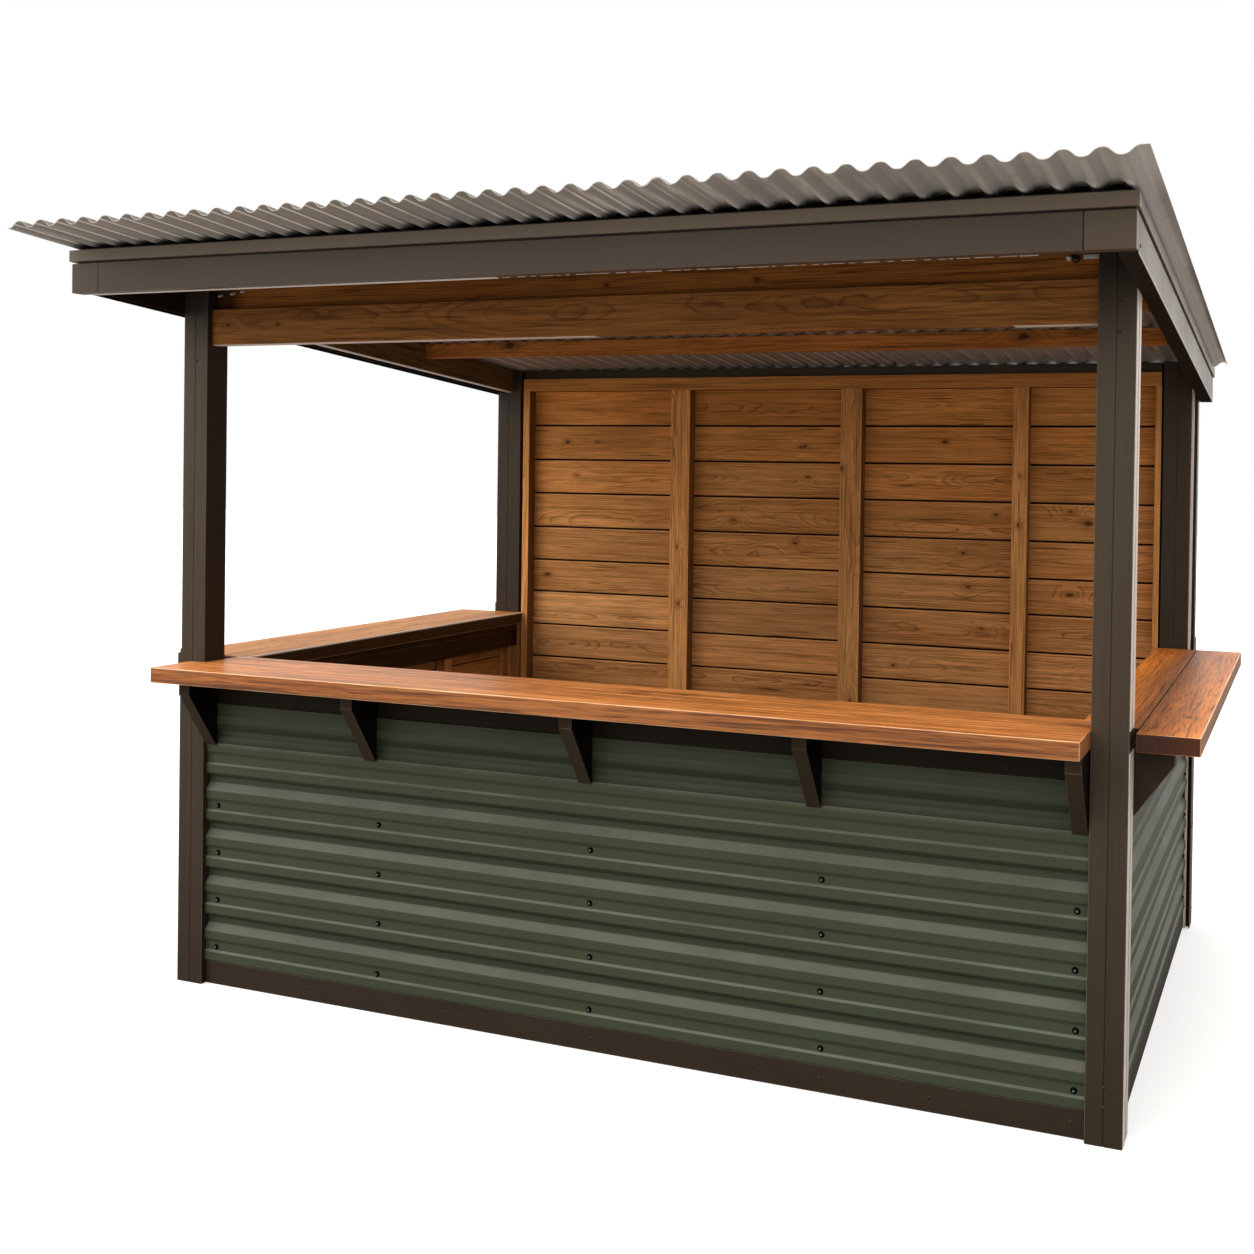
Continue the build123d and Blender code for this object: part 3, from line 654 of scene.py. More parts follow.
# ---------------------------------------------------------------------------
# Posts and side plates
# ---------------------------------------------------------------------------
def foot_dirt(v):
    return max(0.0, 0.35 - v.z / 0.10) if v.z < 0.035 else 0.0


def post(name, x0, x1, y0, y1, painted_shade_x=None):
    pc = Piece(name + ".painted")
    mid = x0 + (x1 - x0) * 0.49
    # faces at or beyond the given x are painted half dark as painted shade; the centre seam is darkened
    for a, b in ((x0, mid), (mid, x1)):
        prism_x(pc, [(y0, 0), (y1, 0), (y1, z_under(y1)), (y0, z_under(y0))], a, b, "paint", "z", "y", bevel=2.2, segs=3,
                tone_var=0.05, hue=0.01, edge_fn=lambda v, e, x=(mid - CX) / 1000.0: 0.0 if abs(v.x - x) < 0.0026 else e,
                dirt_fn=lambda v, x=((painted_shade_x or 9999.0) - CX) / 1000.0, q=(mid - CX) / 1000.0:
                0.5 if v.x > x - 0.0004 else (0.22 if abs(v.x - q) < 0.0013 else 0.0))
    return pc


pc = post("post_front_left", 0, P, 0, P, P)
for x, z in ((38, 132), (40, 172), (52, 2020), (52, 2110)):
    lathe(pc, PAN, (x, 0, z), (0, -1, 0), "screw")
pc.make("frame_paint", ["post_front_left"])
pc = post("post_front_right", W - P, W, 0, P)
for x, z in ((W - 48, 150), (W - 49, 100), (W - 40, 2046), (W - 40, 2120)):
    lathe(pc, PAN, (x, 0, z), (0, -1, 0), "screw")
# painted reflection: pale strips on the right face
for z0, z1 in ((6, CB - 4), (COUNTER_Z + 4, 2168)):
    bar(pc, W - 0.8, W + 1.6, 3, 40, z0, z1, "pale", "z", "x", bevel=0.7)
    bar(pc, W - 0.8, W + 1.6, 56, P - 3, z0, z1, "pale", "z", "x", bevel=0.7)
pc.make("frame_paint", ["post_front_right"])
def back_post(name, x0, x1, shaft, fill, strip_x=None):
    """shaft in front, a set-back filler beside it, and a pale edge strip"""
    pc = Piece(name + ".painted")
    mid = shaft[0] + (shaft[1] - shaft[0]) * 0.49
    kw = dict(grain="z", thick="y", tone_var=0.05, hue=0.01, tone=0.72)
    for a, b in ((shaft[0], mid), (mid, shaft[1])):
        prism_x(pc, [(YB0, 0), (D, 0), (D, z_under(D)), (YB0, z_under(YB0))], a, b, "paint", bevel=2.2, segs=3,
                edge_fn=lambda v, e, x=(mid - CX) / 1000.0: 0.0 if abs(v.x - x) < 0.0026 else e, **kw)
    # the set-back filler is toned dark: painted shade in the recess
    kw.update(tone=0.30)
    for a, b in fill:
        y = YB0 + 26.0
        prism_x(pc, [(y, 0), (D - 2, 0), (D - 2, z_under(D - 2)), (y, z_under(y))], a, b, "paint", bevel=1.5, segs=2, **kw)
    for a, b in strip_x or ():
        bar(pc, a, b, YB0 + 3, YB0 + 26, 0, 2030, "pale", "z", "x", bevel=1.2)
    return pc


pc = back_post("post_back_left", 0, PB, (0, 115), [(115, PB)])
for x, z in ((52, 1120), (52, 1900)):
    lathe(pc, PAN, (x, YB0, z), (0, -1, 0), "screw")
pc.make("frame_paint", ["post_back_left"])
back_post("post_back_right", W - PB, W, (W - 120, W - 20), [(W - PB, W - 120), (W - 20, W)], [(W - 20, W - 11)]).make(
    "frame_paint", ["post_back_right"])

pc = Piece("post_side_plates.folded")
for x0, x1, y0, y1, s in ((-4, 0, 0, P, -1), (-4, 0, YB0, D, -1), (W, W + 4, YB0, D, 1)):
    bar(pc, x0, x1, y0, y1, 0, 1083, "fascia", "z", "x", bevel=1.2, segs=2, tone_var=0.03)
    for z in (60, 380, 700, 1020):
        for y in (y0 + 22, y1 - 22):
            lathe(pc, PAN, (x0 if s < 0 else x1, y, z), (s, 0, 0), "screw")
pc.make("fascia_metal", ["post_side_plates"])

# ---------------------------------------------------------------------------
# Rails
# ---------------------------------------------------------------------------
for nm, box in (("front_bottom_rail", (P, W - P, RAIL_IN, P, 0, RAIL_Z1)),
                ("left_bottom_rail", (RAIL_IN, P, P, YB0, 0, RAIL_Z1)),
                ("right_bottom_rail", (W - P, W - RAIL_IN, P, YB0, 0, RAIL_Z1)),
                ("back_bottom_rail", (PB, W - PB, YB0, D - CLAD_IN_BACK, 0, RAIL_Z1)),
                ("front_top_rail", (P, W - P, RAIL_IN, P, TOP_Z0, CB)),
                ("left_top_rail", (RAIL_IN, P, P, YB0, TOP_Z0, CB)),
                ("right_top_rail", (W - P, W - RAIL_IN, P, YB0, TOP_Z0, CB))):
    pc = Piece(nm + ".painted")
    lx = box[1] - box[0] > box[3] - box[2]
    # the top rails take the dull bracket paint, toned dark: painted shade under the counters
    bar(pc, *box, "bracket" if "top" in nm else "paint", "x" if lx else "y", "y" if lx else "x", bevel=3.0, segs=3, tone_var=0.04,
        hue=0.01, tone=0.36 if "top" in nm else 0.95)
    if nm == "front_bottom_rail":
        for x in (128, 500, 1010, 1500, 2000, 2196, 2500, 2868):
            lathe(pc, PAN, (x, RAIL_IN, 40), (0, -1, 0), "screw")
    pc.make("frame_paint", [nm])

pc = Piece("back_head_rail.painted")
y0, y1 = YB0 + 20, D - CLAD_IN_BACK
prism_x(pc, [(y0, PLATE_Z1), (y1, PLATE_Z1), (y1, z_under(y1)), (y0, z_under(y0))], PB, W - PB, "paint", "x", "y", bevel=2.0,
        tone_var=0.03)
pc.make("frame_paint", ["back_head_rail"])

# ---------------------------------------------------------------------------
# Ribbed cladding, with rounded bends, and its fixings
# ---------------------------------------------------------------------------
def rib_line(z0, z1):
    one = [(SWAGE_DEPTH, -91.5), (SWAGE_DEPTH, -64.0), (0.0, -54.0), (0.0, -28.0),
           (RIB_DEPTH, -6.0), (RIB_DEPTH, 14.0), (0.0, 29.0), (0.0, 56.5)]
    k0 = int(math.floor((z0 - RIB_Z) / RIB_PERIOD)) - 1
    k1 = int(math.ceil((z1 - RIB_Z) / RIB_PERIOD)) + 1
    line = [(d, RIB_Z + k * RIB_PERIOD + z) for k in range(k0, k1 + 1) for d, z in one]

    def at(z):
        for (d0, a), (d1, b) in zip(line, line[1:]):
            if a <= z <= b:
                return d0 + (d1 - d0) * (z - a) / (b - a)
        return RIB_DEPTH
    return [(at(z0), z0)] + [(d, z) for d, z in line if z0 + 0.5 < z < z1 - 0.5] + [(at(z1), z1)]


def offset_line(line, t):
    out = []
    for i, p in enumerate(line):
        a = Vector(line[max(0, i - 1)])
        b = Vector(line[min(len(line) - 1, i + 1)])
        d = (b - a).normalized()
        n = Vector((d.y, -d.x))
        n = n if n.x >= 0 else -n
        out.append((p[0] + n.x * t, p[1] + n.y * t))
    return out


def dense(line):
    """extra points beside the bends, so that wear, painted highlights and painted shade keep close to them"""
    out = [line[0]]
    for p, q in zip(line, line[1:]):
        p, q = Vector(p), Vector(q)
        ln = (q - p).length
        if ln > 5.0:
            for t in (1.0 / ln, 0.5, 1.0 - 1.0 / ln):
                out.append(tuple(p + (q - p) * t))
        out.append(tuple(q))
    return out


def cladding(name, z0, z1, put, s0, s1, screws, axis, shade=True):
    pc = Piece(name + ".ribbed")
    outer = dense(fillet(rib_line(z0, z1), 2.0, 3))
    inner = offset_line(outer, 1.6)

    def marks(j, st, side):
        # painted highlights along the ledges and slope edges, painted shade in the valleys, and deep painted shade
        # close under the counter with a painted highlight line at its foot
        r = (outer[j][1] - RIB_Z + 91.5) % RIB_PERIOD - 91.5
        e = 0.9 if 55.5 < r < 60.5 else (0.55 if -29.5 < r < -26.5 or -7.5 < r < -4.5 else 0.0)
        d = 0.16 if -5.0 < r < 16.0 else 0.0
        if shade and outer[j][1] > 777.0:
            h = outer[j][1]
            e = 0.7 if h < 783.5 else 0.0
            d = 0.0 if h < 783.6 else (0.74 if h < 791.0 else (0.5 if h < 801.0 else (0.34 if h < 809.0 else (0.66 if 839.0 < h < 852.0 else 0.08))))
        return (e, d) if side > 0 else (0.0, 0.0)
    n = max(2, int((s1 - s0) / 90))
    strip(pc, outer, inner, [s0 + (s1 - s0) * i / n for i in range(n + 1)], put, "green", marks=marks)
    for s, z in screws:
        lathe(pc, WASHER, put(SWAGE_DEPTH, z, s), axis, "black_foam_and_shade", 16, s * 0.37 + z)
        tip = Vector(put(SWAGE_DEPTH, z, s)) + Vector(axis) * 5.0
        lathe(pc, [(3.4, -1.0), (3.4, 0.9), (2.6, 1.5), (0.0, 1.7)], tip, axis, "dull", 12)
    pc.make("cladding_green", [name])


rows = (582.0, 430.0, 275.5, 121.5)
jit = random.Random(7)
cladding("front_cladding", RAIL_Z1, TOP_Z0, lambda d, z, s: (s, CLAD_IN + d, z), P, W - P,
         [(x + jit.uniform(-3, 3), z + jit.uniform(-2, 2)) for x in (140, 761, 1489, 2196, 2876) for z in rows], (0, -1, 0))
side_y = (112, 1938)
cladding("left_cladding", RAIL_Z1, TOP_Z0, lambda d, z, s: (CLAD_IN + d, s, z), P, YB0,
         [(y, z) for y in side_y for z in rows], (-1, 0, 0))
cladding("right_cladding", RAIL_Z1, TOP_Z0, lambda d, z, s: (W - CLAD_IN - d, s, z), P, YB0,
         [(y, z) for y in side_y for z in rows], (1, 0, 0))
back_rows = [RIB_Z - 72.5 + RIB_PERIOD * k for k in range(1, 14)]
cladding("back_cladding", RAIL_Z1, PLATE_Z1, lambda d, z, s: (s, D - CLAD_IN_BACK - d, z), PB, W - PB,
         [(x, z) for x in (152, 895, 1655, 2343, 2848) for z in back_rows], (0, 1, 0), False)

# ---------------------------------------------------------------------------
# Board linings, studs and top plate
# ---------------------------------------------------------------------------
BACK_LINES = [75, 109, 257, 405, 553, 701, 849, 993, 1140, 1281, 1428, 1578, 1727, 1878, 2032, 2083]
BACK_KNOTS = [(325, 1806, 0.008), (475, 1806, 0.005), (373, 1660, 0.006), (1438, 1795, 0.007), (1420, 1791, 0.005), (1453, 1666, 0.005), (1400, 1390, 0.007), (233, 1215, 0.009), (2030, 1816, 0.007), (2135, 1239, 0.008), (2243, 1528, 0.006), (2534, 1224, 0.008), (2112, 1374, 0.005), (1831, 908, 0.006), (2191, 1076, 0.005)]
pc = Piece("back_board_lining.boards")
cuts = [PB, 895, 1655, 2343, W - PB]
for z0, z1 in zip(BACK_LINES, BACK_LINES[1:]):
    for a, b in zip(cuts, cuts[1:]):
        dy = pc.rng.uniform(0, 1.2)
        # painted light: the lower boards are lighter and greyer
        t = min(1.0, max(0.0, (z0 - 850.0) / 1100.0))
        tint = [p + (q - p) * t for p, q in zip((1.16, 1.18, 1.34), (1.06, 1.02, 0.80))]
        # painted highlight along each board's top edge, painted shade along its lower edge
        bar(pc, a + 0.5, b - 0.5, LB1 + dy, LB0 - 4.0, z0 + 3.5, z1 - 3.3, "wall", "x", "y", bevel=2.6, segs=2, tone_var=0.16, tint=tint,
            dirt_fn=lambda v, z=z0 / 1000.0: 0.9 if v.z < z + 0.006 else 0.0, cuts=[("z", z1 - 9.5)],
            edge_fn=lambda v, e, z=z1 / 1000.0: 1.5 if v.z > z - 0.0061 else 0.3 * e, knot_p=0.10, knots=[(x, LB1, z, k) for x, z, k in BACK_KNOTS if a < x < b and z0 < z < z1])
# near-black backing seen through the gaps: painted shade
bar(pc, PB, W - PB, LB0 - 4.0, LB0, RAIL_Z1, PLATE_Z1, "wall", "x", "y", bevel=0.5, tone=0.1, dirt_fn=lambda v: 1.0)
pc.make("wall_timber", ["back_board_lining"])

HALF_LINES = [75, 109, 257, 405, 553, 701, 849, 911]
for nm in ("front", "left", "right"):
    pc = Piece(nm + "_board_lining.boards")
    for z0, z1 in zip(HALF_LINES, HALF_LINES[1:]):
        if nm == "front":
            for a, b in ((P, 1488), (1488, W - P)):
                bar(pc, a + 0.5, b - 0.5, L0 + 3.0, L1 - pc.rng.uniform(0, 1), z0 + 2.6, z1 - 2.6, "wall", "x", "y", bevel=2.6,
                    tone_var=0.16, tone=0.5, knot_p=0.4)
        else:
            a, b = (L0 + 3.0, L1) if nm == "left" else (W - L1, W - L0 - 3.0)
            bar(pc, a, b, P + 0.5, YB0 - 0.5, z0 + 2.6, z1 - 2.6, "wall", "y", "x", bevel=2.6, tone_var=0.16, tone=0.78, knot_p=0.4)
    # near-black backing seen through the gaps: painted shade
    dk = dict(bevel=0.5, tone=0.3, dirt_fn=lambda v: 1.0)
    if nm == "front":
        bar(pc, P, W - P, L0, L0 + 3, RAIL_Z1, TOP_Z0, "wall", "x", "y", **dk)
    else:
        a, b = (L0, L0 + 3) if nm == "left" else (W - L0 - 3, W - L0)
        bar(pc, a, b, P, YB0, RAIL_Z1, TOP_Z0, "wall", "y", "x", **dk)
    pc.make("wall_timber", [nm + "_board_lining"])

pc = Piece("front_studs.sawn")
for a, b in ((95, 160), (739, 784), (1466, 1511), (2174, 2219), (2850, 2905)):
    bar(pc, a, b, L1, P, RAIL_Z1, TOP_Z0, "wall", "z", "y", bevel=2.5, tone_var=0.10, knot_p=0.3)
pc.make("wall_timber", ["front_studs"])
for nm in ("left", "right"):
    pc = Piece(nm + "_studs.sawn")
    for a, b in ((95, 140), (885, 930), (1408, 1453), (1910, 1955)):
        x0, x1 = (L1, P) if nm == "left" else (W - P, W - L1)
        bar(pc, x0, x1, a, b, RAIL_Z1, TOP_Z0, "wall", "z", "x", bevel=2.5, tone_var=0.10, tone=1.0, knot_p=0.3)
    pc.make("wall_timber", [nm + "_studs"])
STUD_KNOTS = [(2344, 1684, 0.005), (2340, 1493, 0.006), (2344, 1278, 0.006), (897, 1120, 0.006), (886, 1361, 0.004), (1618, 1702, 0.008)]
pc = Piece("back_studs.sawn")
# each stud's right side is painted dark: painted shade
for a, b in ((130, 162), (851, 940), (1610, 1700), (2313, 2374), (2850, 2872)):
    bar(pc, a, b, YB0, LB1, RAIL_Z1, PLATE_Z0, "wall", "z", "y", bevel=2.5, segs=3, tone_var=0.07, tone=1.2 * {851: 1.1, 1610: 0.95, 2313: 1.14}.get(a, 1.0), tint=(1.0, 1.05, 1.12),
        dirt_fn=lambda v, x=(b - CX) / 1000.0: 0.75 if v.x > x - 0.0006 else 0.0,
        knot_p=0.2, knots=[(x, YB0, z, k) for x, z, k in STUD_KNOTS if a < x < b])
pc.make("wall_timber", ["back_studs"])
pc = Piece("back_top_plate.sawn")
bar(pc, PB, W - PB, YB0, LB1, PLATE_Z0, PLATE_Z1, "wall", "x", "y", bevel=2.5, segs=3, tone_var=0.02, tone=0.95, tint=(1.1, 1.04, 0.82), knot_p=0.5)
pc.make("wall_timber", ["back_top_plate"])

# timber facings on the inner sides of the top rails, under the counters, toned very dark as painted shade
pc = Piece("half_wall_facings")
bar(pc, P + 12, W - P - 12, P, P + 12, TOP_Z0 - 14, CB, "wall", "x", "y", bevel=2.0, tone=0.12)
bar(pc, P, P + 12, P + 12, YB0, TOP_Z0 - 14, CB, "wall", "y", "x", bevel=2.0, tone=0.09)
bar(pc, W - P - 12, W - P, P + 12, YB0, TOP_Z0 - 14, CB, "wall", "y", "x", bevel=2.0, tone=0.09)
bar(pc, P + 12, P + 24, P + 24, YB0, CB - 26, CB, "wall", "y", "x", bevel=3.0, tone=0.09)
bar(pc, W - P - 24, W - P - 12, P + 24, YB0, CB - 26, CB, "wall", "y", "x", bevel=3.0, tone=0.09)
bar(pc, P + 24, W - P - 24, P + 12, P + 24, CB - 26, CB, "wall", "x", "y", bevel=3.0, tone=0.2)
# corner battens that cover the back posts' inner edges below the counters
bar(pc, P + 0.3, PB - 1, YB0 - 22, YB0 - 0.3, RAIL_Z1, TOP_Z0 - 14.3, "wall", "z", "y", bevel=2.5, tone=0.7)
bar(pc, W - PB + 1, W - P - 0.3, YB0 - 22, YB0 - 0.3, RAIL_Z1, TOP_Z0 - 14.3, "wall", "z", "y", bevel=2.5, tone=0.7)
bar(pc, P + 24.3, PB - 1, YB0 - 22, YB0 - 0.3, TOP_Z0 - 14.3, CB, "wall", "z", "y", bevel=1.5, tone=0.5)
bar(pc, W - PB + 1, W - P - 24.3, YB0 - 22, YB0 - 0.3, TOP_Z0 - 14.3, CB, "wall", "z", "y", bevel=1.5, tone=0.5)
pc.make("wall_timber")

# ---------------------------------------------------------------------------
# Counters: oiled planks
# ---------------------------------------------------------------------------
def seam(*lines):
    """dark, unlit edges along the joints between planks: (axis, mm)"""
    spots = [("xyz".index(ax), M(*[q if ax == c else 0.0 for c in "xyz"])["xyz".index(ax)]) for ax, q in lines]
    return lambda v, e: 0.0 if any(abs(v[i] - q) < 0.0052 for i, q in spots) else e


pc = Piece("front_counter.planks")
y_a, y_b = -62.0, 53.0
kw = dict(bevel=3.4, segs=3, tone_var=0.05, hue=0.02, knot_p=0.5, end=0.12)
front_cuts = [("x", q) for q in (300, 700, 1100, 1500, 1900, 2200, 2450, 2650, 2800)]


def front_shade(v):
    # painted shade: the front edge is darker towards the right
    if v.y > M(0, -FRONT_OUT, 0).y + 0.0006:
        return 0.0
    return 0.13 + 0.13 * max(0.0, (v.x * 1000 + CX - 1100.0) / 1800.0)


def top_sheen_tone(v):
    # painted sheen: the upper face is paler and greyer in the middle of its length, and a little darker towards the
    # right end
    x = v.x * 1000 + CX
    m, r = max(0.0, 1.0 - abs(x - 1400.0) / 800.0), max(0.0, (x - 2200.0) / 700.0)
    return (1.0 + 0.12 * m - 0.09 * r, 1.0 + 0.17 * m - 0.09 * r, 1.0 + 0.30 * m - 0.02 * r)


# the front face is toned darker and warmer than the top: painted shade
prism_z(pc, [(FRONT_X0, -FRONT_OUT), (W - P, -FRONT_OUT), (W - P, y_a), (FRONT_X0, y_a)], CB, COUNTER_Z, "counter", cuts=front_cuts,
        dirt_fn=front_shade, edge_fn=seam(("y", y_a)),
        tone_fn=lambda v: (0.92, 0.86, 0.76) if v.y < M(0, -FRONT_OUT, 0).y + 0.0006 else top_sheen_tone(v), **kw)
prism_z(pc, [(FRONT_X0, y_a), (W - P, y_a), (W - P, y_b), (P, y_b), (P, 0), (FRONT_X0, 0)], CB, COUNTER_Z, "counter",
        edge_fn=seam(("y", y_a), ("y", y_b)), cuts=front_cuts, tone_fn=top_sheen_tone, **kw)
prism_z(pc, [(P, y_b), (W - P, y_b), (W - P, FRONT_IN), (P, FRONT_IN)], CB, COUNTER_Z, "counter", edge_fn=seam(("y", y_b)),
        cuts=front_cuts, tone_fn=top_sheen_tone, **kw)
pc.make("counter_timber", ["front_counter"])
pc = Piece("right_counter.planks")
GAP_X = W + 12.0
kw.update(grain="y", thick="z", end=1.0, bevel=3.0, tint=(0.85, 0.71, 0.39))
seam_x = W + 14.0
far = dict(edge_fn=seam(("x", seam_x)), dirt_fn=lambda v: 0.75 if abs(v.x - M(seam_x, 0, 0).x) < 0.0031 else (
    0.24 if v.x > M(W + SIDE_OUT - 0.5, 0, 0).x and v.z < M(0, 0, COUNTER_Z - 2).z else 0.0))
prism_z(pc, [(seam_x, RIGHT_Y0), (W + SIDE_OUT, RIGHT_Y0), (W + SIDE_OUT, YB0), (seam_x, YB0)], CB, COUNTER_Z, "counter_side",
        pith=(0.02, 0.045), knots=[(3118, 330, COUNTER_Z, 0.010)], **far, **kw)
prism_z(pc, [(W - P, P), (seam_x, P), (seam_x, YB0), (W - SIDE_IN, YB0), (W - SIDE_IN, FRONT_IN), (W - P, FRONT_IN)],
        CB, COUNTER_Z, "counter_side", **far, **kw)
bar(pc, seam_x - 2.0, seam_x + 2.0, P + 2, YB0 - 2, COUNTER_Z - 6, COUNTER_Z - 0.4, "black_foam_and_shade", "y", "x", bevel=0.0)
# a drying split in the end of the outer plank, running up and back along the top
bar(pc, W + 71.0, W + 72.6, RIGHT_Y0 - 0.25, RIGHT_Y0 + 2, CB + 4, COUNTER_Z - 3, "screw", "z", "x", bevel=0.0)
bar(pc, W + 73.0, W + 74.2, RIGHT_Y0 + 3, RIGHT_Y0 + 70, COUNTER_Z - 2, COUNTER_Z + 0.25, "screw", "y", "x", bevel=0.0)
pc.make("counter_timber", ["right_counter"])
pc = Piece("left_counter.planks")
kw.update(bevel=4.0, tint=(0.58, 0.63, 0.43), cuts=[("z", COUNTER_Z - 6.0)])
# the inner side face below the top is painted near black: painted shade
for a, b in ((-SIDE_OUT, -68), (-68, 34), (34, SIDE_IN)):
    prism_z(pc, [(a, FRONT_IN), (b, FRONT_IN), (b, YB0), (a, YB0)], CB, COUNTER_Z, "counter_side", edge_fn=seam(("x", -68.0), ("x", 34.0)),
            dirt_fn=lambda v: 0.9 if v.x > M(SIDE_IN - 0.5, 0, 0).x and v.z < M(0, 0, COUNTER_Z - 5).z else 0.0, **kw)
# painted highlight: a pale strip along the rounded inner edge
bar(pc, SIDE_IN - 8, SIDE_IN + 0.4, FRONT_IN + 1, YB0 - 1, COUNTER_Z - 6, COUNTER_Z + 0.5, "white", "y", "z", bevel=2.2, segs=3,
    tint=(1.1, 0.96, 0.78))
pc.make("counter_timber", ["left_counter"])

# ---------------------------------------------------------------------------
# Brackets
# ---------------------------------------------------------------------------
pc = Piece("front_brackets.cut")
for x in (96, 711, 1453, 2149, 2860):
    # each bracket's right side is painted black: painted shade
    prism_x(pc, [(RAIL_IN, CB), (-115, CB), (-115, CB - 42), (9, CB - 220), (15, CB - 220), (15, TOP_Z0), (RAIL_IN, TOP_Z0)],
            x, x + 42, "bracket", (0, 0.57, -0.82), "x", bevel=3.6, segs=3, tone_var=0.08, hue=0.01,
            dirt_fn=lambda v, e=(x + 42 - CX) / 1000.0: 1.0 if v.x > e - 0.0004 else 0.0)
pc.make("frame_paint", ["front_brackets"])
for nm, s, ys in (("left_brackets", -1, (200, 1000, 1860)), ("right_brackets", 1, (98, 1000, 1860))):
    pc = Piece(nm + ".cut")
    for y in ys:
        pts = [(RAIL_IN, CB), (-102, CB), (-102, CB - 42), (9, CB - 196), (15, CB - 196), (15, TOP_Z0), (RAIL_IN, TOP_Z0)]
        pts = [(v if s < 0 else W - v, z) for v, z in pts]
        prism_y(pc, pts, y, y + 42, "bracket", (-0.55 * s, 0, -0.83), "y", bevel=3.6, segs=3, tone_var=0.08, hue=0.01)
    pc.make("frame_paint", [nm])

# ---------------------------------------------------------------------------
# Roof timbers
# ---------------------------------------------------------------------------
pc = Piece("front_beam.sawn")
bar(pc, P, W - P, 20, 65, 2070, 2184, "rooft", "x", "y", bevel=3.0, segs=3, tone_var=0.0, tone=1.1,
    knots=[(159, 20, 2132, 0.0045), (357, 20, 2130, 0.0035)], pith=(0.018, -0.07))
for a, b in ((P + 2, 1480), (2690, W - P - 2)):
    bar(pc, a, b, 24, 61, 2067.6, 2070, "pale", "x", "z", bevel=0.8)
pc.make("roof_timber", ["front_beam"])
pc = Piece("front_header.sawn")
# the left end is painted near black: painted shade
prism_x(pc, [(42, 2184), (77, 2184), (77, z_under(77)), (42, z_under(42))], P, W - P, "rooft", "x", "y", bevel=2.5, tone_var=0.0,
        tone=1.1, tint=(1.12, 1.02, 0.82), knots=[(1508, 42, 2217, 0.005), (1972, 42, 2218, 0.005)], cuts=[("x", 150), ("x", 215)],
        dirt_fn=lambda v: 0.85 if v.x < M(160, 0, 0).x else 0.0)
pc.make("roof_timber", ["front_header"])
pc = Piece("left_rafter.sawn")
prism_x(pc, [(P, z_under(P) - RAFTER_H0 + 3), (YB0, z_under(YB0) - RAFTER_H1 + 3), (YB0, z_under(YB0)), (P, z_under(P))], 32, 77,
        "rooft", (0, 1, -SLOPE), "x", bevel=3.0, segs=3, tone_var=0.0, tone=0.62, knot_p=0.7, tint=(0.92, 1.48, 2.2))
# painted light and shade under the rafter: a pale strip beside a black one
prism_x(pc, [(P, z_under(P) - RAFTER_H0), (YB0, z_under(YB0) - RAFTER_H1), (YB0, z_under(YB0) - RAFTER_H1 + 3),
             (P, z_under(P) - RAFTER_H0 + 3)], 50, 76, "pale", (0, 1, -SLOPE), "z", bevel=0.8)
prism_x(pc, [(P, z_under(P) - RAFTER_H0), (YB0, z_under(YB0) - RAFTER_H1), (YB0, z_under(YB0) - RAFTER_H1 + 3),
             (P, z_under(P) - RAFTER_H0 + 3)], 33, 50, "black_foam_and_shade", (0, 1, -SLOPE), "z", bevel=0.8)
pc.make("roof_timber", ["left_rafter"])
pc = Piece("right_rafter.sawn")
prism_x(pc, [(P, z_under(P) - 50), (YB0, z_under(YB0) - 50), (YB0, z_under(YB0)), (P, z_under(P))], W - 45, W,
        "rooft", (0, 1, -SLOPE), "x", bevel=3.0, segs=3, tone_var=0.0, tone=0.8, knot_p=0.7)
pc.make("roof_timber", ["right_rafter"])
for nm, y in (("front_purlin", 720.0), ("mid_purlin", 1280.0)):
    pc = Piece(nm + ".sawn")
    y0, y1 = y - 22.5, y + 22.5
    prism_x(pc, [(y0, z_under(y0) - 58), (y1, z_under(y0) - 58), (y1, z_under(y1)), (y0, z_under(y0))], 77, W - 45, "rooft", "x", "y",
            bevel=3.0, segs=3, tone_var=0.0, tone=1.9, knot_p=0.8)
    pc.make("roof_timber", [nm])

# ---------------------------------------------------------------------------
# Fascia, barge boards and trims
# ---------------------------------------------------------------------------
FX0, FX1 = -FASCIA_T, W + FASCIA_T
fy0, fy1 = FASCIA_Y, FASCIA_Y + FASCIA_T
top_in = TRIM_DROP + TRIM_H + GAP
tb = TRIM_DROP + TRIM_H


def down(y, h):
    return z_under(y) - h


pc = Piece("front_fascia.folded")
for a, b, tn in ((FX0, 56, 1.05), (57.2, 2927.5, 1.05), (2930.5, FX1, 1.4)):
    prism_x(pc, [(fy0, down(fy0, top_in + FASCIA_H)), (fy1, down(fy0, top_in + FASCIA_H)), (fy1, down(fy1, top_in + 1.5)),
                 (fy0, down(fy0, top_in + 1.5))], a, b, "fascia", "x", "y", bevel=1.8, segs=3, tone_var=0.02, hue=0.01, tone=tn)
bar(pc, 2924, 2934, fy0 + 8, fy1 - 4, down(fy0, top_in + FASCIA_H - 4), down(fy0, top_in + 4), "screw", "z", "y", bevel=0.4)
pc.make("fascia_metal", ["front_fascia"])


def slab(pc, ya, yb, h0, h1, x0, x1, key="fascia", low=(0.0, 0.0), **kw):
    """bar under the sheet between depths h0 and h1, lowered by low at its front and back"""
    a, b = low
    prism_x(pc, [(ya, down(ya, h1 + a)), (yb, down(yb, h1 + b)), (yb, down(yb, h0 + b)), (ya, down(ya, h0 + a))], x0, x1, key, **kw)


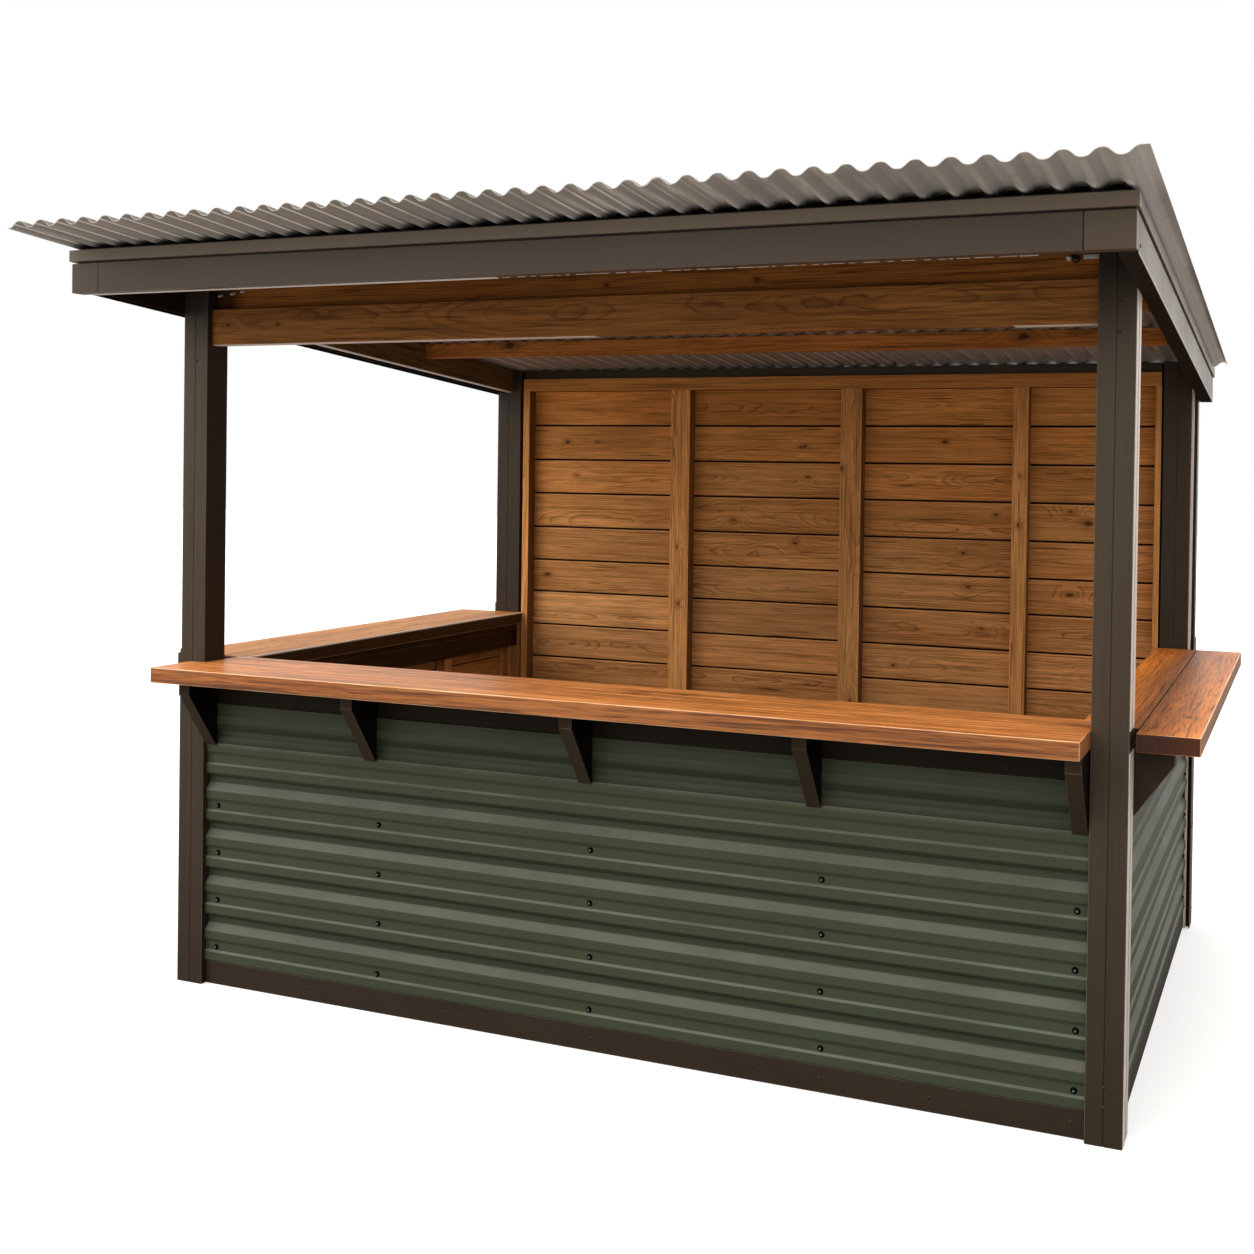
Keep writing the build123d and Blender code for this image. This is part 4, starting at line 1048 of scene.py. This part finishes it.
pc = Piece("front_fascia_trim.folded")
fkw = dict(grain="x", thick="y", tone_var=0.02, hue=0.01, tone=2.5, tint=(0.95, 1.04, 1.14))
slab(pc, fy0 - TRIM_OUT, fy1, TRIM_DROP, tb - 1.2, FX0 - TRIM_OUT, FX1 + TRIM_OUT, bevel=2.0, segs=3, **fkw)
# the recessed step and closure are painted near black: painted shade
slab(pc, fy0 + 12, fy1, tb - 1.4, top_in + 1.8, FX0 + 12, FX1 - 12, bevel=0.5, dirt_fn=lambda v: 1.0, **fkw)
slab(pc, fy0 + CLOSURE_IN, fy1, 0, TRIM_DROP, FX0 + CLOSURE_IN, FX1 - CLOSURE_IN, bevel=0.8, dirt_fn=lambda v: 1.0, **fkw)
pc.make("fascia_metal", ["front_fascia_trim"])

bkw = dict(grain=(0, 1, -SLOPE), thick="x", tone_var=0.02, hue=0.01, tint=(1.15, 0.84, 0.58))
for nm, s in (("left", -1), ("right", 1)):
    pc = Piece(nm + "_barge_board.folded")
    a, b = (FX0, 0) if s < 0 else (W, FX1)
    bh0, bh1 = (LEFT_BARGE_H0, LEFT_BARGE_H1) if s < 0 else (FASCIA_H, FASCIA_H)
    pts = [(fy1, down(fy1, top_in + bh0)), (BARGE_Y1, down(BARGE_Y1, top_in + bh1)), (BARGE_Y1, down(BARGE_Y1, top_in)),
           (fy1, down(fy1, top_in))]
    # the inner face and underside are painted dark: painted shade; only the right board keeps its lighter edges
    prism_x(pc, pts, a, b, "fascia", bevel=2.2, segs=3, edge_fn=lambda v, e, q=s: e if q > 0 else 0.0,
            dirt_fn=lambda v, x=(b - CX if s < 0 else a - CX) / 1000.0, q=s: 0.9 if q * (x - v.x) > -0.0432 else 0.0, **bkw)
    # painted shade: a matt dark plate under the board, brown on the right, black on the left
    slab(pc, fy1 + 1, BARGE_Y1 - 2, 0, 0.8, min(a, b) + 2.2, max(a, b) - 2.2, "shade_brown" if s > 0 else "black_foam_and_shade", low=(top_in + bh0, top_in + bh1), bevel=0.0, **bkw)
    if s > 0:
        lathe(pc, PAN, (FX1, fy1 + 22, down(fy1 + 22, top_in + bh0 - 20)), (1, 0, 0), "screw")
        # painted highlight: thin white strip along the lower outer edge
        e0, e1 = top_in + bh0 - 3.5, top_in + bh0 - 0.5
        slab(pc, fy1 + 1, BARGE_Y1 - 1, e0, e1, b - 2.0, b + 0.6, "white", bevel=0.5, **dict(bkw, tint=(1.0, 0.97, 0.94)))
    pc.make("fascia_metal", [nm + "_barge_board"])
    pc = Piece(nm + "_barge_trim.folded")
    for x_out, x_in, h0, h1, bv in ((FASCIA_T + TRIM_OUT, 0, TRIM_DROP, tb, 2.0), (FASCIA_T - 12, 0, tb, top_in, 0.5),
                                    (FASCIA_T - CLOSURE_IN, 0, 0, TRIM_DROP, 0.8)):
        a, b = (-x_out, -x_in) if s < 0 else (W + x_in, W + x_out)
        # the recessed parts are painted near black: painted shade
        slab(pc, fy1, BARGE_Y1, h0, h1, a, b, bevel=bv, segs=2, dirt_fn=(None if bv > 1 else (lambda v: 1.0)), **bkw)
    pc.make("fascia_metal", [nm + "_barge_trim"])
pc = Piece("back_fascia.folded")
prism_x(pc, [(D, down(D, top_in + FASCIA_H)), (D + 30, down(D + 30, top_in + FASCIA_H)), (D + 30, down(D + 30, 0)), (D, down(D, 0))],
        0, W, "fascia", "x", "y", bevel=2.6, segs=3, tone_var=0.02)
pc.make("fascia_metal", ["back_fascia"])

# painted highlight: a white strip and pale dashes along the fascia's bottom edge
pc = Piece("fascia_return_strip")
zb = down(fy0, top_in + FASCIA_H)
bar(pc, 2, 1400, fy1 - 16, fy1 - 1, zb - 2.6, zb, "white", "x", "z", bevel=0.5)
x, rr = 1412.0, random.Random(11)
while x < 2820:
    ln = rr.uniform(8, 46)
    bar(pc, x, x + ln, fy1 - 7, fy1 - 2, zb - rr.uniform(0.9, 1.7), zb, "pale", "x", "z", bevel=0.3)
    x += ln + rr.uniform(3, 22)
pc.make()
pc = Piece("header_hardware")
bar(pc, 2862, W - P, 34, 42, 2236, 2247, "zinc", "x", "y", bevel=1.2)
lathe(pc, [(7.5, 0), (7.5, 12), (6.5, 15), (3.5, 16), (3.5, 22), (0, 22.5)], (2826, 42, 2240), (0, -1, 0), "zinc", 18)
lathe(pc, [(10.0, 0), (10.5, 9), (8.5, 15), (4.0, 18), (0, 18.5)], (2843, 42, 2236), (0, -1, 0), "screw", 16)
for x, z in ((114, 2232), (164, 2237), (204, 2243)):
    lathe(pc, [(5.0, 0), (5.0, 2), (2.2, 3), (2.0, 13), (4.6, 15), (4.8, 19), (3.0, 22), (0, 22.5)], (x, 42, z), (0.3, -1, -0.3), "zinc", 12)
pc.make()
# ---------------------------------------------------------------------------
# Corrugated roof sheets, lapped, with their screws
# ---------------------------------------------------------------------------
def rib_x(k):
    """place of crest k across the roof; the ribs are a little closer in the middle"""
    return ((4.13192e-3 * k - 0.227865) * k + 79.547) * k - 1.922


def wave(k):
    a = 2 * math.pi * k
    return WAVE / 2 * (1.07 * math.cos(a) - 0.07 * math.cos(3 * a))


K_END = 40.0          # the last crest, from which the right edge runs on flat


def roof_sheet(name, k0, k1, lift, screw_k):
    pc = Piece(name + ".corrugated")
    # even steps, and close ones along the lit line on the near slope of each rib
    part = [i / 24.0 for i in range(24)] + [0.739, 0.744, 0.755, 0.765, 0.775, 0.786, 0.791]
    ks = sorted(set([k0, k1] + [q + f for q in range(int(math.floor(k0)), int(math.ceil(k1))) for f in part if k0 < q + f < k1]))
    top, bot = [], []
    for k in ks:
        d = 0.01
        s = (wave(k + d) - wave(k - d)) / (rib_x(k + d) - rib_x(k - d))
        q = 1 / math.hypot(1, s)
        t = 0.8
        top.append((rib_x(k) - s * q * t, wave(k) + q * t + lift))
        bot.append((rib_x(k) + s * q * t, wave(k) - q * t + lift))
    if k1 >= K_END:
        # flat flange along the right edge, its lip bent down a little more towards the back
        for x in (3084.5, 3090.0, 3093.5, 3095.5):
            top.append((x, WAVE / 2 + 0.8 + lift))
            bot.append((x, WAVE / 2 - 0.8 + lift))
            ks.append(K_END)
    ys = [ROOF_Y0, -590.0, -540.0, -500.0] + [-490.0 + 10.0 * i for i in range(14)] + [-300.0, -150.0, 0.0]
    ys += [ROOF_Y1 * i / 12 for i in range(1, 13)]

    def put(a, b, y):
        over = max(0.0, a - 3084.0) / 11.5
        fall = 15.0 * max(0.0, (y + 250.0) / 2370.0)
        return (a, y, z_mid(y) + b - fall * over ** 1.5)

    def marks(j, y, side):
        # underside: painted highlights along the valleys' lowest lines, soft painted light bands on the ribs further
        # right and painted light on the flanks near the fascia; painted shade on the ribs behind the fascia, lighter
        # painted shade inside
        if side > 0:
            return 0.0, 0.0
        k = ks[j]
        f = k % 1.0
        # height within the rib decides how far back the painted shade over the fascia starts
        ya = y - 5.0 * max(0.0, wave(k))
        near, flank = 0.62 < f < 0.84, 0.24 < f < 0.56
        shade = (ya + 446.0) / 50.0 if near else ((ya + 422.0) / 20.0 if flank else (ya + 434.0) / 24.0)
        shade = min(1.0, max(0.0, shade)) if y < 100 else 0.35
        if rib_x(k) > 3035.0:
            shade = 0.0
        lit = 5.0 * min(1.0, max(0.0, (28.0 - k) / 9.0)) if 0.743 < f < 0.787 else 0.0
        wide = min(1.0, max(0.0, (k - 18.0) / 6.0)) * (1.6 - 0.8 * min(1.0, max(0.0, (k - 24.0) / 9.0)))
        band = min(1.0, max(0.0, (0.60 - f) / 0.08)) if f < 0.72 else min(1.0, max(0.0, (f - 0.83) / 0.07))
        painted_flank_light = 2.0 * min(1.0, max(0.0, (y + 482.0) / 40.0)) if 0.24 < f < 0.46 and y < -395.0 else 0.0
        return max(lit, wide * band, painted_flank_light), shade
    strip(pc, top, bot, ys, put, "roof", marks=marks)
    up = Vector((0, SLOPE, 1)).normalized()
    for y in (-396.0, 60.0, 1280.0, 2010.0):
        for k in screw_k:
            lathe(pc, WASHER, (rib_x(k), y, z_mid(y) + WAVE / 2 + 0.8 + lift), up, "screw", 12, k * 1.7)
    pc.make("roof_metal", [name])


# black foam that closes the ribs over the fascia; its black also stands in for the deep shade there, painted shade
pc = Piece("roof_closure_foam")
line = [-0.27 + 0.05 * i for i in range(793)]
strip(pc, [(rib_x(k), wave(k) - 1.3) for k in line], [(rib_x(k), -UNDER - 1.0) for k in line], [-381.0, -375.0],
      lambda a, b, y: (a, y, z_mid(y) + b), "black_foam_and_shade")
pc.make()
roof_sheet("roof_sheet_left", -0.575, 26.5, 0.0, [k for k in range(26) if k % 3 == 1])
roof_sheet("roof_sheet_right", 25.15, K_END, 2.0, [k for k in range(26, 40) if k % 3 == 1])

# ---------------------------------------------------------------------------
# Camera, floor and light
# ---------------------------------------------------------------------------
cam_data = bpy.data.cameras.new("camera")
cam = bpy.data.objects.new("camera", cam_data)
bpy.context.scene.collection.objects.link(cam)
bpy.context.scene.camera = cam
yaw, pitch, roll, focal, px, py = 0.3813, 0.0117, -0.0143, 1462.99, 107.08, -137.40
fwd = Vector((-math.sin(yaw) * math.cos(pitch), math.cos(yaw) * math.cos(pitch), -math.sin(pitch)))
rgt = Vector((math.cos(yaw), math.sin(yaw), 0))
dwn = fwd.cross(rgt)
r2 = rgt * math.cos(roll) + dwn * math.sin(roll)
d2 = -rgt * math.sin(roll) + dwn * math.cos(roll)
mw = Matrix((r2, -d2, -fwd)).transposed().to_4x4()
mw.translation = M(3431.1, -3745.2, 1681.4)
cam.matrix_world = mw
cam_data.sensor_width = 36.0
cam_data.lens = focal * 36.0 / 1254.0
cam_data.shift_x = -px / 1254.0
cam_data.shift_y = py / 1254.0
cam_data.clip_start, cam_data.clip_end = 0.05, 200.0

# the studio's light: an even dome, brighter overhead, with soft patches
DOME_BASE, DOME_UP = 0.62, 0.60
LOBES = [((-0.38, -0.55, 0.74), 4.0, 2.2), ((0.30, 0.94, 0.12), 14.0, 1.4), ((-0.90, -0.35, 0.05), 6.0, 0.6)]

bm = bmesh.new()
bmesh.ops.create_grid(bm, x_segments=8, y_segments=8, size=40.0)
me = bpy.data.meshes.new("floor")
bm.to_mesh(me)
bm.free()
floor = bpy.data.objects.new("floor", me)
floor.location.z = -0.0005
bpy.context.scene.collection.objects.link(floor)
# a white studio floor that throws only a little light back up
fm = Mat("floor_white")
lpn = fm.t.nodes.new("ShaderNodeLightPath")
seen_ray = lpn.outputs["Is Camera Ray"]
fm.set(color=fm.mix(seen_ray, (0.36, 0.35, 0.335), (0.80, 0.80, 0.80)), rough=0.9, spec=0.0)
fm.put(fm.b.inputs["Emission Color"], (1.0, 1.0, 1.0))
fm.put(fm.b.inputs["Emission Strength"], fm.math("MULTIPLY", seen_ray, 0.42))
me.materials.append(fm.m)

world = bpy.data.worlds.new("studio")
bpy.context.scene.world = world
world.use_nodes = True
wt = world.node_tree
wt.nodes.clear()
wo = wt.nodes.new("ShaderNodeOutputWorld")
mixs = wt.nodes.new("ShaderNodeMixShader")
lp = wt.nodes.new("ShaderNodeLightPath")
seen = wt.nodes.new("ShaderNodeBackground")
seen.inputs[0].default_value = (1, 1, 1, 1)
seen.inputs[1].default_value = 1.0
dome = wt.nodes.new("ShaderNodeBackground")
dome.inputs[0].default_value = (1.0, 0.975, 0.945, 1)
tc = wt.nodes.new("ShaderNodeTexCoord")


def wmath(op, a, b=None):
    n = wt.nodes.new("ShaderNodeMath")
    n.operation = op
    for s, v in zip(n.inputs, (a, b)):
        if isinstance(v, bpy.types.NodeSocket):
            wt.links.new(v, s)
        elif v is not None:
            s.default_value = v
    return n.outputs[0]


def lobe(direction, power, gain):
    """soft bright patch of the studio round a direction"""
    n = wt.nodes.new("ShaderNodeVectorMath")
    n.operation = "DOT_PRODUCT"
    wt.links.new(tc.outputs["Generated"], n.inputs[0])
    n.inputs[1].default_value = Vector(direction).normalized()
    return wmath("MULTIPLY", wmath("POWER", wmath("MAXIMUM", n.outputs["Value"], 0.0), power), gain)


light = wmath("ADD", lobe((0, 0, 1), 1.0, DOME_UP), DOME_BASE)
for d, p, g in LOBES:
    light = wmath("ADD", light, lobe(d, p, g))
wt.links.new(light, dome.inputs[1])
wt.links.new(lp.outputs["Is Camera Ray"], mixs.inputs[0])
wt.links.new(dome.outputs[0], mixs.inputs[1])
wt.links.new(seen.outputs[0], mixs.inputs[2])
wt.links.new(mixs.outputs[0], wo.inputs[0])

vs = bpy.context.scene.view_settings
vs.view_transform = "Standard"
vs.look = "None"
vs.exposure = 0.0

bpy.context.view_layer.update()
